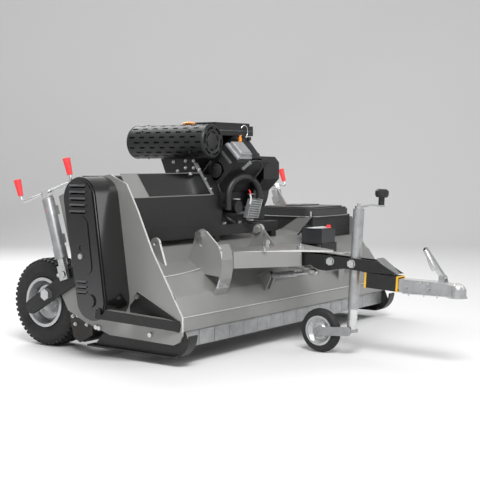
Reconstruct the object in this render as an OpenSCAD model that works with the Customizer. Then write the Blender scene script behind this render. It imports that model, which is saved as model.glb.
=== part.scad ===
// Towed flail mower with its own engine, drawn at full size.
// X runs to the right when the mower is seen from the front.
// Y runs to the rear and the drawbar points along -Y.
// Z is up and the wheels stand on Z = 0.

/* [Deck] */
// Width over the two side plates
deck_w = 1750; // [1600:10:1800]
// Thickness of the side plates
plate_t = 10; // [8:1:12]
// Thickness of the folded deck sheet
sheet_t = 5; // [4:0.5:6]
// Height of the front lip
lip_h = 50; // [40:1:60]
// Number of front flaps
flap_count = 16; // [12:1:20]

/* [Rotor] */
// Rotor axis behind the origin
rotor_y = 40; // [30:1:50]
// Rotor axis above the ground
rotor_z = 265; // [260:1:270]
// Radius of the rotor tube
rotor_r = 70; // [60:1:80]
// Radius that the flail tips reach
flail_reach = 200; // [190:1:205]
// Radius of the circle that the flail pins lie on
pin_circle_r = 98; // [94:1:104]
// Number of flails in each of the three rows
flails_per_row = 7; // [5:1:9]

/* [Belt drive] */
// Drive shaft axis behind the origin
shaft_y = 105; // [100:1:110]
// Drive shaft axis above the ground
shaft_z = 690; // [680:1:700]
// Running radius of the upper pulley
upper_pulley_r = 60; // [52:1:66]
// Running radius of the rotor pulley
lower_pulley_r = 66; // [56:1:68]
// Depth of the belt cover, out from the side plate
cover_d = 150; // [140:1:160]
// Radius of the upper end of the cover
cover_top_r = 92; // [88:1:96]
// Radius of the lower end of the cover
cover_low_r = 85; // [82:1:90]

/* [Wheels] */
// Tyre radius
tyre_r = 203; // [195:1:208]
// Tyre width
tyre_w = 160; // [140:2:165]
// Rim radius
rim_r = 114; // [108:1:118]
// Wheel axle behind the origin
axle_y = 510; // [500:1:520]
// Thickness of a wheel arm
arm_t = 20; // [16:1:22]

/* [Height jacks] */
// Outer radius of a jack tube
jack_r = 27; // [25:0.5:28]
// Length of a crank rod from grip to grip
crank_span = 330; // [300:5:350]
// Radius of a red grip at its thick end
grip_r = 17; // [14:0.5:18]

/* [Hitch] */
// Middle of the drawbar, left of the middle of the deck
drawbar_x = -222; // [-240:2:-200]
// Thickness of each black drawbar plate
bar_plate_t = 8; // [6:1:8]
// Outer size of the square tube under the drawbar plates
square_tube = 64; // [60:1:66]
// Diameter of the tow ball that the coupling takes
tow_ball_d = 50; // [48:0.1:52]

/* [Jockey wheel] */
// Outer radius of the jockey tube
jockey_tube_r = 24; // [22:0.5:24]
// Radius of the jockey tyre
jockey_r = 98.6; // [96:0.1:99]
// Width of the jockey tyre
jockey_w = 50; // [44:1:54]
// Distance that the jockey wheel trails its swivel
jockey_trail = 140; // [125:1:150]

/* [Engine] */
// Radius of the muffler shield
shield_r = 80; // [76:1:82]
// Length of the muffler shield
shield_len = 500; // [460:5:510]
// Engine feet above the ground
engine_base_z = 549; // [545:1:555]

/* [Hidden] */
$fn = 64;
eps = 0.01;
run_gap = 0.3;
fit_gap = 0.05;
half_w = deck_w / 2;
inner_w = half_w - plate_t;
lip_top_z = 199;
lip_bottom_z = lip_top_z - lip_h;
// Outer surface of the deck sheet as (y, z), from the lip to the rear edge
deck_out = [
    [-305, lip_bottom_z], [-329, lip_bottom_z], [-329, lip_top_z], [-292, 288], [-231, 372], [-160, 415],
    [-60, 470], [60, 490], [165, 462], [240, 400], [280, 300], [285, 212]
];
// Jack axis and wheel arm, as (y, z)
jack_foot = [306, 350];
jack_top = [412, 690];
jack_dir = (jack_top - jack_foot) / norm(jack_top - jack_foot);
jack_tilt = atan2(jack_dir[0], jack_dir[1]);
arm_pin_l = 110;
arm_pivot = jack_foot - arm_pin_l * [jack_dir[1], -jack_dir[0]];
axle = [axle_y, tyre_r];
arm_vec = axle - arm_pivot;
arm_dir = arm_vec / norm(arm_vec);
// Middle plane of the jacks, outside the side plates
jack_x = half_w + jack_r + 3;
arm_x0 = half_w + 2;
arm_x1 = arm_x0 + arm_t;
tyre_x = half_w - 25 - tyre_w / 2;
// Belt drive planes, out from the left side plate
cover_x = -half_w - cover_d;
belt_x = -half_w - 75;
belt_w = 34;
// Pivot of the hitch frame in its two deck lugs, as (y, z)
hitch_axis = [-218, 530];
hitch_pin_r = 11;
gusset_x = -605;
ear_x = -167;
top_plate_z = 448;
yoke_in = 45;
yoke_t = 8;
swing_pin_y = -485;
swing_pin_r = 12;
// Line of the pitched drawbar
bar_pitch = 3.2;
jockey_y = -769;
jockey_z = 407;
jockey_tilt = 3.3;
// Turnbuckle ends, as (y, z)
link_rear = [-312, 322];
link_front = [-560, 356];
link_vec = link_front - link_rear;
link_len = norm(link_vec);
link_tilt = atan2(link_vec[1], -link_vec[0]);
// Coupling head
coupling_y0 = -994;
ball_y = -1246;
ball_z = 318;
// Engine
engine_x = -60;
// Left face of the engine nose, and middle planes of the two cylinders
crank_x0 = -238;
front_cyl_x = -160;
rear_cyl_x = -135;
blower_x = 20;
muffler_x = -300;
muffler_z = 940;
muffler_y0 = -52;
housing_x1 = -240;
housing_top = 784;

// Puts the origin on the ground at the middle of the whole machine
origin_x = 21;
origin_y = -286;
module placed() {
    translate([-origin_x, -origin_y, 0]) children();
}

// Extrudes a (y, z) outline along X from x0 to x1
module along_x(x0, x1) {
    translate([x0, 0, 0]) rotate([90, 0, 90]) linear_extrude(x1 - x0) children();
}

// Round bar along X at (y, z)
module bar_x(x0, x1, yz, r) {
    translate([x0, yz[0], yz[1]]) rotate([0, 90, 0]) cylinder(r = r, h = x1 - x0);
}

// Box between two corners
module box(a, b) {
    translate(a) cube(b - a);
}

// Sheet of one thickness whose outer surface follows the points
function unit(v) = v / norm(v);
function normal_of(v) = [v[1], -v[0]];
function miter(p, i, t) =
    let (
        a = i == 0 ? unit(p[1] - p[0]) : unit(p[i] - p[i - 1]),
        b = i == len(p) - 1 ? a : unit(p[i + 1] - p[i]),
        c = i == 0 ? b : a,
        m = normal_of(c) + normal_of(b)
    ) p[i] + m * t / (1 + normal_of(c) * normal_of(b));
module folded_sheet(p, t) {
    polygon(concat(p, [for (i = [len(p) - 1:-1:0]) miter(p, i, t)]));
}

// Outline of two circles and the straight sides between them, a hair inside the tangents
module racetrack(c1, r1, c2, r2) {
    skim = 0.03;
    along = c2 - c1;
    base = atan2(along[1], along[0]);
    lean = acos((r1 - r2) / norm(along));
    up = [cos(base + lean), sin(base + lean)];
    down = [cos(base - lean), sin(base - lean)];
    translate(c1) circle(r1);
    translate(c2) circle(r2);
    polygon([
        c1 + (r1 - skim) * up, c2 + (r2 - skim) * up, c2 + (r2 - skim) * down, c1 + (r1 - skim) * down
    ]);
}

// Hexagon bolt head along X, facing out to the side s
module hex_head(x, yz, across, h, s) {
    translate([x, yz[0], yz[1]]) rotate([0, 90 * s, 0]) cylinder(d = across / cos(30), h = h, $fn = 6);
}

module mirror_side(s) {
    if (s > 0) mirror([1, 0, 0]) children();
    else children();
}

module deck_shell() placed() {
    color("#9c9c9c") along_x(-inner_w, inner_w) folded_sheet(deck_out, sheet_t);
}

left_plate_top = 791;
plate_low = [
    [362, 290], [362, 251], [323, 186], [219, 142], [71, 99], [-284, 90], [-316, 104], [-331, 130], [-331, 208]
];
module plate_holes() {
    translate([rotor_y, rotor_z]) circle(26);
    translate(arm_pivot) circle(14 + fit_gap);
}

module left_side_plate() placed() {
    color("#9c9c9c") along_x(-half_w, -inner_w) difference() {
        union() {
            polygon(concat(plate_low, [
                [-172, 471], [-91, 643], [-31, 752], [15, left_plate_top - 20], [60, left_plate_top],
                [190, left_plate_top - 16], [250, 748], [300, 722], [372, 692], [300, 440], [300, 340]
            ]));
        }
        plate_holes();
        translate([shaft_y, shaft_z]) circle(34);
    }
}

module right_side_plate() placed() {
    color("#9c9c9c") along_x(inner_w, half_w) difference() {
        polygon(concat(plate_low, [
            [-172, 440], [-125, 545], [270, 545], [372, 690], [380, 690], [300, 440], [300, 340]
        ]));
        plate_holes();
    }
}

// Skid sole with an upturned tip, and a web bolted inside the side plate
module skid() {
    tip_r = 100;
    sole_t = 8;
    sole_z = 37;
    along_x(-half_w - 12, -half_w + 40) {
        polygon([
            [196, sole_z + 3], [-281, sole_z], [-281, sole_z + sole_t], [196, sole_z + 3 + sole_t]
        ]);
        translate([-281, sole_z + tip_r]) difference() {
            circle(tip_r);
            circle(tip_r - sole_t);
            translate([0, -tip_r - 1]) square([tip_r + 1, 2 * tip_r + 2]);
            translate([-tip_r - 1, 0]) square([tip_r + 2, tip_r + 1]);
        }
    }
    along_x(-inner_w, -inner_w + 8) difference() {
        polygon([
            [170, sole_z + 8], [-281, sole_z + 7], [-340, 58], [-360, 92], [-335, 148], [-240, 148], [-200, 135],
            [60, 135], [120, 100]
        ]);
        translate(flap_axis) circle(5 + fit_gap);
    }
}
module left_skid() placed() {
    color("#2b2b2b") skid();
}
module right_skid() placed() {
    color("#2b2b2b") mirror([1, 0, 0]) skid();
}

roller_c = [250, 92];
module roller_bracket() {
    along_x(-inner_w, -inner_w + 8) difference() {
        polygon([[330, 205], [322, 150], [300, 66], [262, 45], [185, 85], [180, 160], [250, 200]]);
        translate([285, 126]) circle(7);
        translate([300, 160]) circle(7);
        translate([270, 165]) circle(7);
        translate([215, 130]) circle(7);
        translate(roller_c) circle(10 + fit_gap);
    }
}
module roller_brackets() placed() {
    color("#3a352e") {
        roller_bracket();
        mirror([1, 0, 0]) roller_bracket();
    }
}

module rear_roller() placed() {
    color("#3a3a3a") {
        bar_x(-inner_w + 12, inner_w - 12, roller_c, 45);
        bar_x(-inner_w + 0.5, inner_w - 0.5, roller_c, 10);
    }
}

// Height of the deck's outer surface at a place in front of the ridge
function deck_height(y) = lookup(y, [for (i = [2:10]) deck_out[i]]);
function on_deck(y) = [y, deck_height(y) + fit_gap];

hood_x0 = 480;
hood_front_y = -110;
hood_low = 557;
// Lugs, stay bracket, hood fin and battery tray that are welded to the deck
module deck_brackets() placed() {
    gap = 10;
    color("#a6a6a6") {
        // Left gusset with the hitch pivot, and the curved strip at its front
        along_x(gusset_x - 5, gusset_x + 5) difference() {
            polygon([
                on_deck(-157), [-188, 520], [-200, 546], [-250, 546], [-330, 472], [-330, 352], on_deck(-240),
                deck_out[4], deck_out[5]
            ]);
            translate(hitch_axis) circle(hitch_pin_r + fit_gap);
            translate(hitch_axis + [-6, -42]) circle(9);
        }
        along_x(gusset_x - 8, gusset_x + 72) polygon([
            on_deck(-299), [-316, 300], [-330, 340], [-338, 385], [-338, 425], [-330, 462], [-316, 490],
            [-308, 486], [-322, 460], [-330, 425], [-330, 386], [-322, 343], [-308, 304], on_deck(-293)
        ]);
        // Right lug behind the hitch frame's ear
        along_x(ear_x - 5, ear_x + 5) difference() {
            union() {
                translate(hitch_axis) circle(26);
                polygon([on_deck(-236), hitch_axis + [-26, 0], hitch_axis + [26, 0], on_deck(-155), deck_out[5], deck_out[4]]);
            }
            translate(hitch_axis) circle(hitch_pin_r + fit_gap);
        }
        // Lifting lug on the left
        along_x(-791, -779) difference() {
            union() {
                translate([-116, 498]) circle(25);
                polygon([on_deck(-172), [-141, 498], [-91, 498], on_deck(-72), on_deck(-160)]);
            }
            translate([-116, 498]) circle(9);
        }
        // Turnbuckle bracket on the front slope
        for (s = [-1, 1]) along_x(drawbar_x + s * 17 - 4, drawbar_x + s * 17 + 4) difference() {
            polygon([on_deck(-272), deck_out[3], on_deck(-306), [-334, 312], [-334, 336], [-318, 344], on_deck(-262)]);
            translate(link_rear) circle(8 + fit_gap);
        }
        // Fin that holds the hood's front corner
        along_x(hood_x0 - gap, hood_x0) polygon([
            on_deck(-35), [-109, hood_low], [-31, hood_low], on_deck(95), deck_out[7]
        ]);
        // Stay with a cross bar on the right of the front slope
        along_x(405, 455) polygon([on_deck(-312), [-318, 262], [-318, 330], [-312, 330], [-312, 262], on_deck(-306)]);
        box([345, -318, 300], [525, -312, 330]);
    }
    color("#c8c8c8") {
        bar_x(drawbar_x - 26, drawbar_x + 26, link_rear, 8);
        bar_x(gusset_x - 20, gusset_x + 20, hitch_axis, hitch_pin_r);
        bar_x(ear_x - 12, ear_x + 24, hitch_axis, hitch_pin_r);
        hex_head(gusset_x - 5, hitch_axis, 32, 16, -1);
        hex_head(ear_x - 5, hitch_axis, 32, 16, -1);
    }
    color("#2e2e2e") along_x(330, 470) polygon([
        [-262, 432], on_deck(-129.3), on_deck(-136.6), [-256, 428], on_deck(-256), on_deck(-262)
    ]);
}

module battery() placed() {
    color("#55585c") {
        box([336, -255, 432], [464, -135, 500]);
        box([340, -251, 500], [460, -139, 508]);
    }
    color("#c8ccd0") box([330, -215, 508], [470, -175, 511]);
    color("#e03030") translate([440, -232, 508]) cylinder(r = 11, h = 14);
}

// Flanged bearings of the rotor and of the drive shaft
module bearing(x, yz, outer, bore, w) {
    difference() {
        bar_x(x, x + w, yz, outer);
        bar_x(x - 1, x + w + 1, yz, bore + fit_gap);
    }
}
module rotor_bearings() placed() {
    color("#8a8a8a") {
        bearing(-inner_w, [rotor_y, rotor_z], 52, 20, 16);
        bearing(inner_w - 16, [rotor_y, rotor_z], 52, 20, 16);
        bearing(-inner_w + 4, [shaft_y, shaft_z], 46, 15, 16);
        bearing(housing_x1 - 20, [shaft_y, shaft_z], 46, 15, 16);
    }
}

// Shell over the belts, open towards the side plate
module cover_outline(inset) {
    racetrack([shaft_y, shaft_z], cover_top_r - inset, [rotor_y, rotor_z], cover_low_r - inset);
}
module belt_cover() placed() {
    wall = 5;
    color("#1f1f1f") difference() {
        union() {
            along_x(cover_x + 14, -half_w) cover_outline(0);
            along_x(cover_x + 5, cover_x + 14) cover_outline(4);
            along_x(cover_x, cover_x + 5) cover_outline(10);
        }
        along_x(cover_x + wall, -half_w + 1) cover_outline(14);
        along_x(cover_x + 18, -half_w + 1) cover_outline(wall);
        for (i = [0:4]) translate([cover_x - 1, shaft_y - 42, shaft_z - 62 + i * 27]) cube([wall + 2, 84, 7]);
        for (i = [0:2]) translate([cover_x - 1, rotor_y + 22, rotor_z + 26 + i * 22]) cube([wall + 2, 52, 6]);
    }
    color("#1f1f1f") {
        // Waisted ribs between the two rows of louvres, and the round boss
        along_x(cover_x - 4, cover_x) difference() {
            racetrack([shaft_y - 14, shaft_z - 112], 42, [rotor_y + 22, rotor_z + 142], 34);
            translate([shaft_y - 19, shaft_z - 205]) circle(12);
        }
        bar_x(cover_x - 8, cover_x, [rotor_y, rotor_z], 28);
    }
}

// Oblique bar that turns posts away from the belt cover
module belt_guard() placed() {
    bar_h = 42;
    foot = [-half_w, -318];
    tip = [cover_x - 18, 2];
    turn = atan2(tip[0] - foot[0], tip[1] - foot[1]);
    bar_l = norm(tip - foot);
    rise = atan2(50, bar_l);
    color("#262626") {
        // Mounting plate, flat against the side plate
        along_x(-half_w - 6, -half_w) polygon([
            [-93, 300], [-76, 262], [-52, 238], [-52, 180], [-80, 174], [-318, 147], [-326, 178], [-318, 196]
        ]);
        difference() {
            translate([foot[0], foot[1], 0]) rotate([0, 0, -turn]) translate([0, 0, 148]) rotate([rise, 0, 0])
                difference() {
                    translate([0, -20, 0]) cube([34, bar_l + 20, bar_h]);
                    translate([5, -21, 5]) cube([40, bar_l + 50, bar_h - 10]);
                }
            box([-half_w - 3, -700, 0], [0, 400, 600]);
            box([-half_w - 300, -500, 0], [0, foot[1] - 12, 600]);
            along_x(cover_x - 5, -half_w + 5) cover_outline(-1);
        }
        // Web between the bar and the mounting plate
        translate([0, 0, 186]) linear_extrude(5) polygon([
            [-half_w - 3, -300], [-half_w - 96, -120], [-half_w - 3, -80]
        ]);
    }
}

module belt_loop(inset, r1, r2) {
    difference() {
        racetrack([shaft_y, shaft_z], r1 + inset, [rotor_y, rotor_z], r2 + inset);
        racetrack([shaft_y, shaft_z], r1 - inset, [rotor_y, rotor_z], r2 - inset);
    }
}
module drive_belts() placed() {
    color("#1b1b1b") for (i = [-1, 1])
        along_x(belt_x + i * belt_w / 4 - 6, belt_x + i * belt_w / 4 + 6)
            belt_loop(4, upper_pulley_r + 4 + run_gap, lower_pulley_r + 4 + run_gap);
}

// Pulley with two belt grooves, turned about the X axis
module pulley(yz, r, bore) {
    translate([belt_x - belt_w / 2, yz[0], yz[1]]) rotate([0, 90, 0]) rotate_extrude() difference() {
        translate([bore, 0]) square([r + 6 - bore, belt_w]);
        for (i = [-1, 1]) translate([r, belt_w / 2 + i * belt_w / 4 - 6.5]) square([10, 13]);
    }
}
module rotor_pulley() placed() {
    color("#5c5c5c") pulley([rotor_y, rotor_z], lower_pulley_r, 20);
}
module drive_shaft() placed() {
    color("#5c5c5c") {
        pulley([shaft_y, shaft_z], upper_pulley_r, 15);
        bar_x(belt_x - belt_w / 2 - 8, crank_x0 + 60, [shaft_y, shaft_z], 15);
    }
}

module engine_rails() placed() {
    rail_z = engine_base_z - 50;
    color("#242424") {
        for (y = [-60, 250]) difference() {
            box([-inner_w, y, rail_z], [230, y + 50, engine_base_z]);
            box([-inner_w - 1, y + 4, rail_z + 4], [231, y + 46, engine_base_z - 4]);
        }
        for (x = [-760, -300, 170]) {
            along_x(x, x + 40) polygon([
                [-60, rail_z], [-60, 470], [60, 490], [165, 462], [240, 400], [300, 400], [300, rail_z]
            ]);
        }
        for (x = [-210, 120]) box([x, -10, engine_base_z - 8], [x + 40, 250, engine_base_z]);
    }
}

// The housing's front leans back above the sign plate's lower edge
housing_front = [[-58, engine_base_z], [-58, 690], [8, housing_top], [235, housing_top], [235, engine_base_z]];
module shaft_housing() placed() {
    x0 = -inner_w;
    w = 4;
    color("#262626") difference() {
        along_x(x0, housing_x1) polygon(housing_front);
        along_x(x0 + w, housing_x1 - w) polygon([
            [-58 + w, engine_base_z + w], [-58 + w, 689], [11, housing_top - w], [235 - w, housing_top - w],
            [235 - w, engine_base_z + w]
        ]);
        bar_x(x0 - 1, x0 + 10, [shaft_y, shaft_z], 24);
        bar_x(housing_x1 - 10, housing_x1 + 1, [shaft_y, shaft_z], 24);
    }
    // Muffler stand on top of the housing, with a sloping front flange
    color("#262626") {
        box([muffler_x - 48, 30, housing_top], [muffler_x + 42, 230, housing_top + 5]);
        along_x(muffler_x - 4, muffler_x + 4) polygon([
            [8, housing_top], [230, housing_top], [262, muffler_z - shield_r - run_gap],
            [58, muffler_z - shield_r - run_gap], [44, 838]
        ]);
        along_x(muffler_x - 22, muffler_x) folded_sheet([[-53, 690], [13, housing_top], [44, 838]], -6);
    }
}

module sign_plate() placed() {
    color("#8f8f8f") along_x(-inner_w, -325) folded_sheet([
        [-58 - run_gap, 690], [14 - run_gap, 690 + 72 * (housing_top - 690) / 66]
    ], -4);
}

// Lid outline in plan, with two rounded front corners
module lid_plan(inset) {
    x0 = hood_x0 - 14 + inset;
    x1 = inner_w - inset;
    y0 = hood_front_y - 14 + inset;
    r = 70 - inset;
    translate([x0 + r, y0 + r]) circle(r);
    translate([x1 - r, y0 + r]) circle(r);
    translate([x0, y0 + r]) square([x1 - x0, 285 - inset - y0 - r]);
    translate([x0 + r, y0]) square([x1 - x0 - 2 * r, 100]);
}
module tank_hood() placed() {
    wall = 4;
    top = 600;
    color("#2a2a2a") {
        difference() {
            union() {
                translate([0, 0, hood_low]) linear_extrude(top - hood_low - 8) lid_plan(0);
                translate([0, 0, top - 9]) linear_extrude(9) lid_plan(8);
                translate([0, 0, top - 1]) linear_extrude(7) lid_plan(30);
            }
            translate([0, 0, hood_low + wall]) linear_extrude(top - hood_low - 15) lid_plan(wall);
            box([hood_x0 + wall, hood_front_y + wall, hood_low - 1], [inner_w - wall, 266, hood_low + 9]);
        }
        difference() {
            along_x(hood_x0, inner_w) polygon([
                [hood_front_y, hood_low + 1], on_deck(hood_front_y), deck_out[6], deck_out[7], deck_out[8],
                deck_out[9], [270, 325], [270, hood_low + 1]
            ]);
            along_x(hood_x0 + wall, inner_w - wall) polygon([
                [hood_front_y + wall, hood_low + 7], on_deck(hood_front_y + wall) + [0, 8], deck_out[6] + [0, 6],
                deck_out[7] + [0, 6], deck_out[8] + [0, 6], deck_out[9] + [0, 8], [262, 345], [266, hood_low + 7]
            ]);
        }
        // Three ribs low on the front wall
        for (i = [0:2]) box([hood_x0 + 120, hood_front_y - 4, 456 + i * 22], [inner_w - 20, hood_front_y, 464 + i * 22]);
        // Cap plates on the lid
        translate([610, 90, top + 5]) cylinder(r = 48, h = 6);
        box([690, 60, top + 5], [820, 150, top + 10]);
    }
}

module frame_bolts() placed() {
    color("#c4c4c4") {
        for (s = [-1, 1]) {
            for (yz = [[129, 124], [148, 126], [-162, 122]]) {
                hex_head(s * half_w, yz, 19, 9, s);
            }
        }
        hex_head(-half_w - 6, [-93, 278], 19, 9, -1);
        // Cover screw
        hex_head(cover_x - 4, [shaft_y - 19, shaft_z - 240], 22, 8, -1);
        // Rail bolts
        for (x = [-195, -70]) translate([x, -35, engine_base_z]) cylinder(d = 22, h = 11, $fn = 6);
    }
}

module engine_block() placed() {
    c = [shaft_y, shaft_z];
    color("#4a4a4a") {
        box([-225, -10, engine_base_z], [blower_x, 245, engine_base_z + 24]);
        difference() {
            along_x(-215, blower_x) {
                translate(c) circle(112);
                polygon([[0, engine_base_z + 20], [228, engine_base_z + 20], [215, c[1]], [0, c[1]]]);
            }
            bar_x(-216, -150, c, 15 + fit_gap);
        }
        difference() {
            bar_x(crank_x0, -215, c, 58);
            bar_x(crank_x0 - 1, -214, c, 15 + fit_gap);
        }
        // Carburettor and its inlet elbow between the cylinders
        box([-185, 62, 790], [-110, 148, 908]);
    }
}

// Places children on the axis of one cylinder, s = -1 front and 1 rear
module on_cylinder(s) {
    translate([s < 0 ? front_cyl_x : rear_cyl_x, shaft_y, shaft_z]) rotate([-s * 45, 0, 0]) children();
}
module engine_cylinders() placed() {
    color("#6a6a6a") for (s = [-1, 1]) on_cylinder(s) {
        translate([0, 0, 112 + run_gap]) cylinder(r = 46, h = 130);
        for (i = [0:8]) translate([-62, -56, 124 + i * 12.5]) cube([124, 112, 5]);
        translate([-58, -52, 240]) cube([116, 104, 42]);
    }
}
module valve_covers() placed() {
    color("#cfcfcf") for (s = [-1, 1]) on_cylinder(s) {
        translate([-54, -52, 282]) cube([108, 104, 9]);
        translate([-44, -42, 291]) cube([88, 84, 20]);
        translate([-34, -32, 311]) cube([68, 64, 7]);
    }
}
// Plastic cowl round the front cylinder, and the blower housing beside it
cowl_path = [[-12, 704], [-36, 740], [-140, 846], [-137, 852]];
module blower_shroud() placed() {
    c = [shaft_y, shaft_z + 24];
    x0 = blower_x;
    color("#242424") difference() {
        union() {
            along_x(x0, x0 + 132) {
                translate(c) circle(162);
                polygon([[-54, 700], [-118, 762], [-118, 842], [-92, 870], [60, 876], [240, 876], [270, 700]]);
                polygon([[-30, 560], [235, 560], [235, 700], [-30, 700]]);
            }
            along_x(x0 + 132, x0 + 168) translate(c) circle(138);
            translate([x0 + 168, c[0], c[1]]) rotate([0, 90, 0]) cylinder(r1 = 138, r2 = 122, h = 12);
        }
        along_x(x0 - 1, x0 + 126) {
            translate(c) circle(156);
            polygon([[-48, 706], [-112, 766], [-112, 838], [-90, 864], [60, 870], [234, 870], [264, 706]]);
            polygon([[-24, 566], [234, 566], [234, 700], [-24, 700]]);
        }
        bar_x(x0 + 120, x0 + 190, c, 104);
    }
    color("#242424") {
        // Grille over the fan inlet
        for (i = [0:3]) bar_ring(x0 + 166, c, 32 + i * 22);
        for (a = [0:45:150]) translate([x0 + 165, c[0], c[1]]) rotate([a, 0, 0]) translate([0, -3, -106])
            cube([7, 6, 212]);
        translate([x0 + 164, c[0], c[1]]) rotate([0, 90, 0]) cylinder(r = 14, h = 9);
        along_x(-236, x0) folded_sheet(cowl_path, -4);
        for (x = [-236, x0 - 4]) along_x(x, x + 4) polygon(concat(cowl_path, [[-112, 842], [-12, 742]]));
    }
}
// Flat ring about the X axis
module bar_ring(x, yz, r) {
    translate([x, yz[0], yz[1]]) rotate([0, 90, 0]) difference() {
        cylinder(r = r + 3, h = 5);
        translate([0, 0, -1]) cylinder(r = r - 3, h = 7);
    }
}

module air_cleaner() placed() {
    color("#333333") {
        box([-205, 8, 972], [105, 226, 1020]);
        box([-190, 20, 1020], [92, 214, 1034]);
        box([-185, 62, 908], [-60, 148, 972]);
    }
}

module muffler() placed() {
    color("#4d4d4d") {
        translate([muffler_x, muffler_y0 + 8, muffler_z]) rotate([-90, 0, 0]) cylinder(r = shield_r - 10, h = shield_len - 40);
    }
}
module heat_shield() placed() {
    tail = 34;
    color("#3a3a3a") translate([muffler_x, muffler_y0, muffler_z]) rotate([-90, 0, 0]) {
        difference() {
            union() {
                cylinder(r = shield_r, h = shield_len - tail);
                translate([0, 0, shield_len - tail]) cylinder(r1 = shield_r, r2 = shield_r * 0.5, h = tail);
            }
            translate([0, 0, 8]) cylinder(r = shield_r - 10, h = shield_len - 40 + eps);
            for (a = [20:40:340], k = [0:6]) rotate([0, 0, a]) translate([shield_r - 12, -5, 40 + k * 62])
                cube([14, 10, 34]);
        }
    }
}

// Arched hose over the front of the crankcase
module intake_hose() placed() {
    turn = 14.6;
    span_r = 97;
    r = 15;
    color("#2b2b2b") translate([-140, -114, 678]) rotate([0, 0, -turn]) {
        rotate([90, 0, 0]) rotate_extrude(angle = 180) translate([span_r, 0]) circle(r);
        translate([-span_r, 0, -58]) cylinder(r = r, h = 58);
        translate([-span_r, 0, -44]) rotate([-90, 0, 0]) cylinder(r = 12, h = 80);
        translate([span_r, 0, -8]) cylinder(r = r + 3, h = 14);
    }
    // Stub where the branch enters the crankcase
    color("#2b2b2b") translate([-204, -24, 634]) rotate([-90, 0, 0]) cylinder(r = 13, h = 24 - run_gap);
}

module oil_filter() placed() {
    color("#3f3f3f") {
        translate([-158, -96, 632]) rotate([-90, 0, 0]) cylinder(r = 31, h = 76);
        translate([-158, -20, 628]) rotate([-90, 0, 0]) cylinder(r = 18, h = 20);
    }
}

// Finned cooler that leans forward at the top
module oil_cooler() placed() {
    color("#a8a8a8") translate([-108, -92, 580]) rotate([17, 0, 0]) {
        cube([96, 6, 92]);
        for (i = [0:10]) translate([0, -16, i * 8.8]) cube([96, 17, 3]);
        for (x = [0, 93]) translate([x, -16, 0]) cube([3, 17, 92]);
        translate([62, 5, 10]) rotate([-17, 0, 0]) cube([24, 89.8, 12]);
    }
}

// Jack tube with the straps that hold it to the side plate
module on_jack() {
    translate([-jack_x, jack_foot[0], jack_foot[1]]) rotate([-jack_tilt, 0, 0]) children();
}
jack_len = norm(jack_top - jack_foot);
module jack_tube() {
    bore = 20;
    on_jack() {
        difference() {
            union() {
                translate([0, 0, 118]) cylinder(r = jack_r, h = jack_len - 128);
                translate([0, 0, 72]) cylinder(r = jack_r + 2.5, h = 52);
            }
            translate([0, 0, 70]) cylinder(r = bore, h = jack_len - 90);
            translate([0, 0, jack_len - 30]) cylinder(r = 10 + fit_gap, h = 40);
        }
        for (z = [140, 270]) difference() {
            translate([0, -22, z]) cube([jack_x - half_w, 44, 40]);
            translate([0, 0, z - 1]) cylinder(r = jack_r - 3, h = 42);
        }
    }
}
module left_jack_tube() placed() {
    color("#8c8c8c") jack_tube();
}
module right_jack_tube() placed() {
    color("#8c8c8c") mirror([1, 0, 0]) jack_tube();
}

// Inner jack tube with a slotted foot on the arm's pin
module jack_screw() {
    bore = 20;
    slot = 9;
    on_jack() {
        difference() {
            union() {
                translate([0, 0, 38]) cylinder(r = bore - fit_gap, h = 178);
                translate([-18, -24, -24]) cube([18, 48, 66]);
            }
            translate([-19, -slot, 0]) rotate([0, 90, 0]) cylinder(r = 12 + 0.4, h = 60);
            translate([-19, slot, 0]) rotate([0, 90, 0]) cylinder(r = 12 + 0.4, h = 60);
            translate([-19, -slot, -12.4]) cube([60, 2 * slot, 24.8]);
            translate([0, 0, 60]) cylinder(r = 9.5, h = 200);
        }
    }
}
module left_jack_screw() placed() {
    color("#d2d2d2") jack_screw();
}
module right_jack_screw() placed() {
    color("#d2d2d2") mirror([1, 0, 0]) jack_screw();
}

// Crank on the jack's spindle, with two upturned ends and grips
module jack_crank(turn) {
    arm = crank_span / 2;
    rod_r = 6;
    bend = 22;
    lift = 30;
    rod_z = 20;
    on_jack() translate([0, 0, jack_len]) rotate([0, 0, turn]) {
        color("#d8d8d8") {
            translate([0, 0, -240]) cylinder(r = 9, h = 240);
            translate([0, 0, -30]) cylinder(r = 10, h = 30);
            translate([0, 0, -10 + run_gap]) cylinder(d = 52, h = 34, $fn = 6);
            translate([0, -arm + bend, rod_z]) rotate([-90, 0, 0]) cylinder(r = rod_r, h = 2 * (arm - bend));
            for (s = [-1, 1]) rotate([0, 0, s > 0 ? 0 : 180]) {
                translate([0, arm - bend, rod_z + bend]) rotate([0, 90, 0]) rotate_extrude(angle = 90)
                    translate([bend, 0]) circle(rod_r);
                translate([0, arm, rod_z + bend]) cylinder(r = rod_r, h = lift);
            }
        }
        color("#ff3b3b") for (s = [-1, 1]) translate([0, s * arm, rod_z + bend + lift - 20]) {
            cylinder(r1 = grip_r * 0.7, r2 = grip_r, h = 74);
        }
    }
}
module left_crank() placed() {
    jack_crank(0);
}
module right_crank() placed() {
    mirror([1, 0, 0]) jack_crank(78);
}

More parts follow.
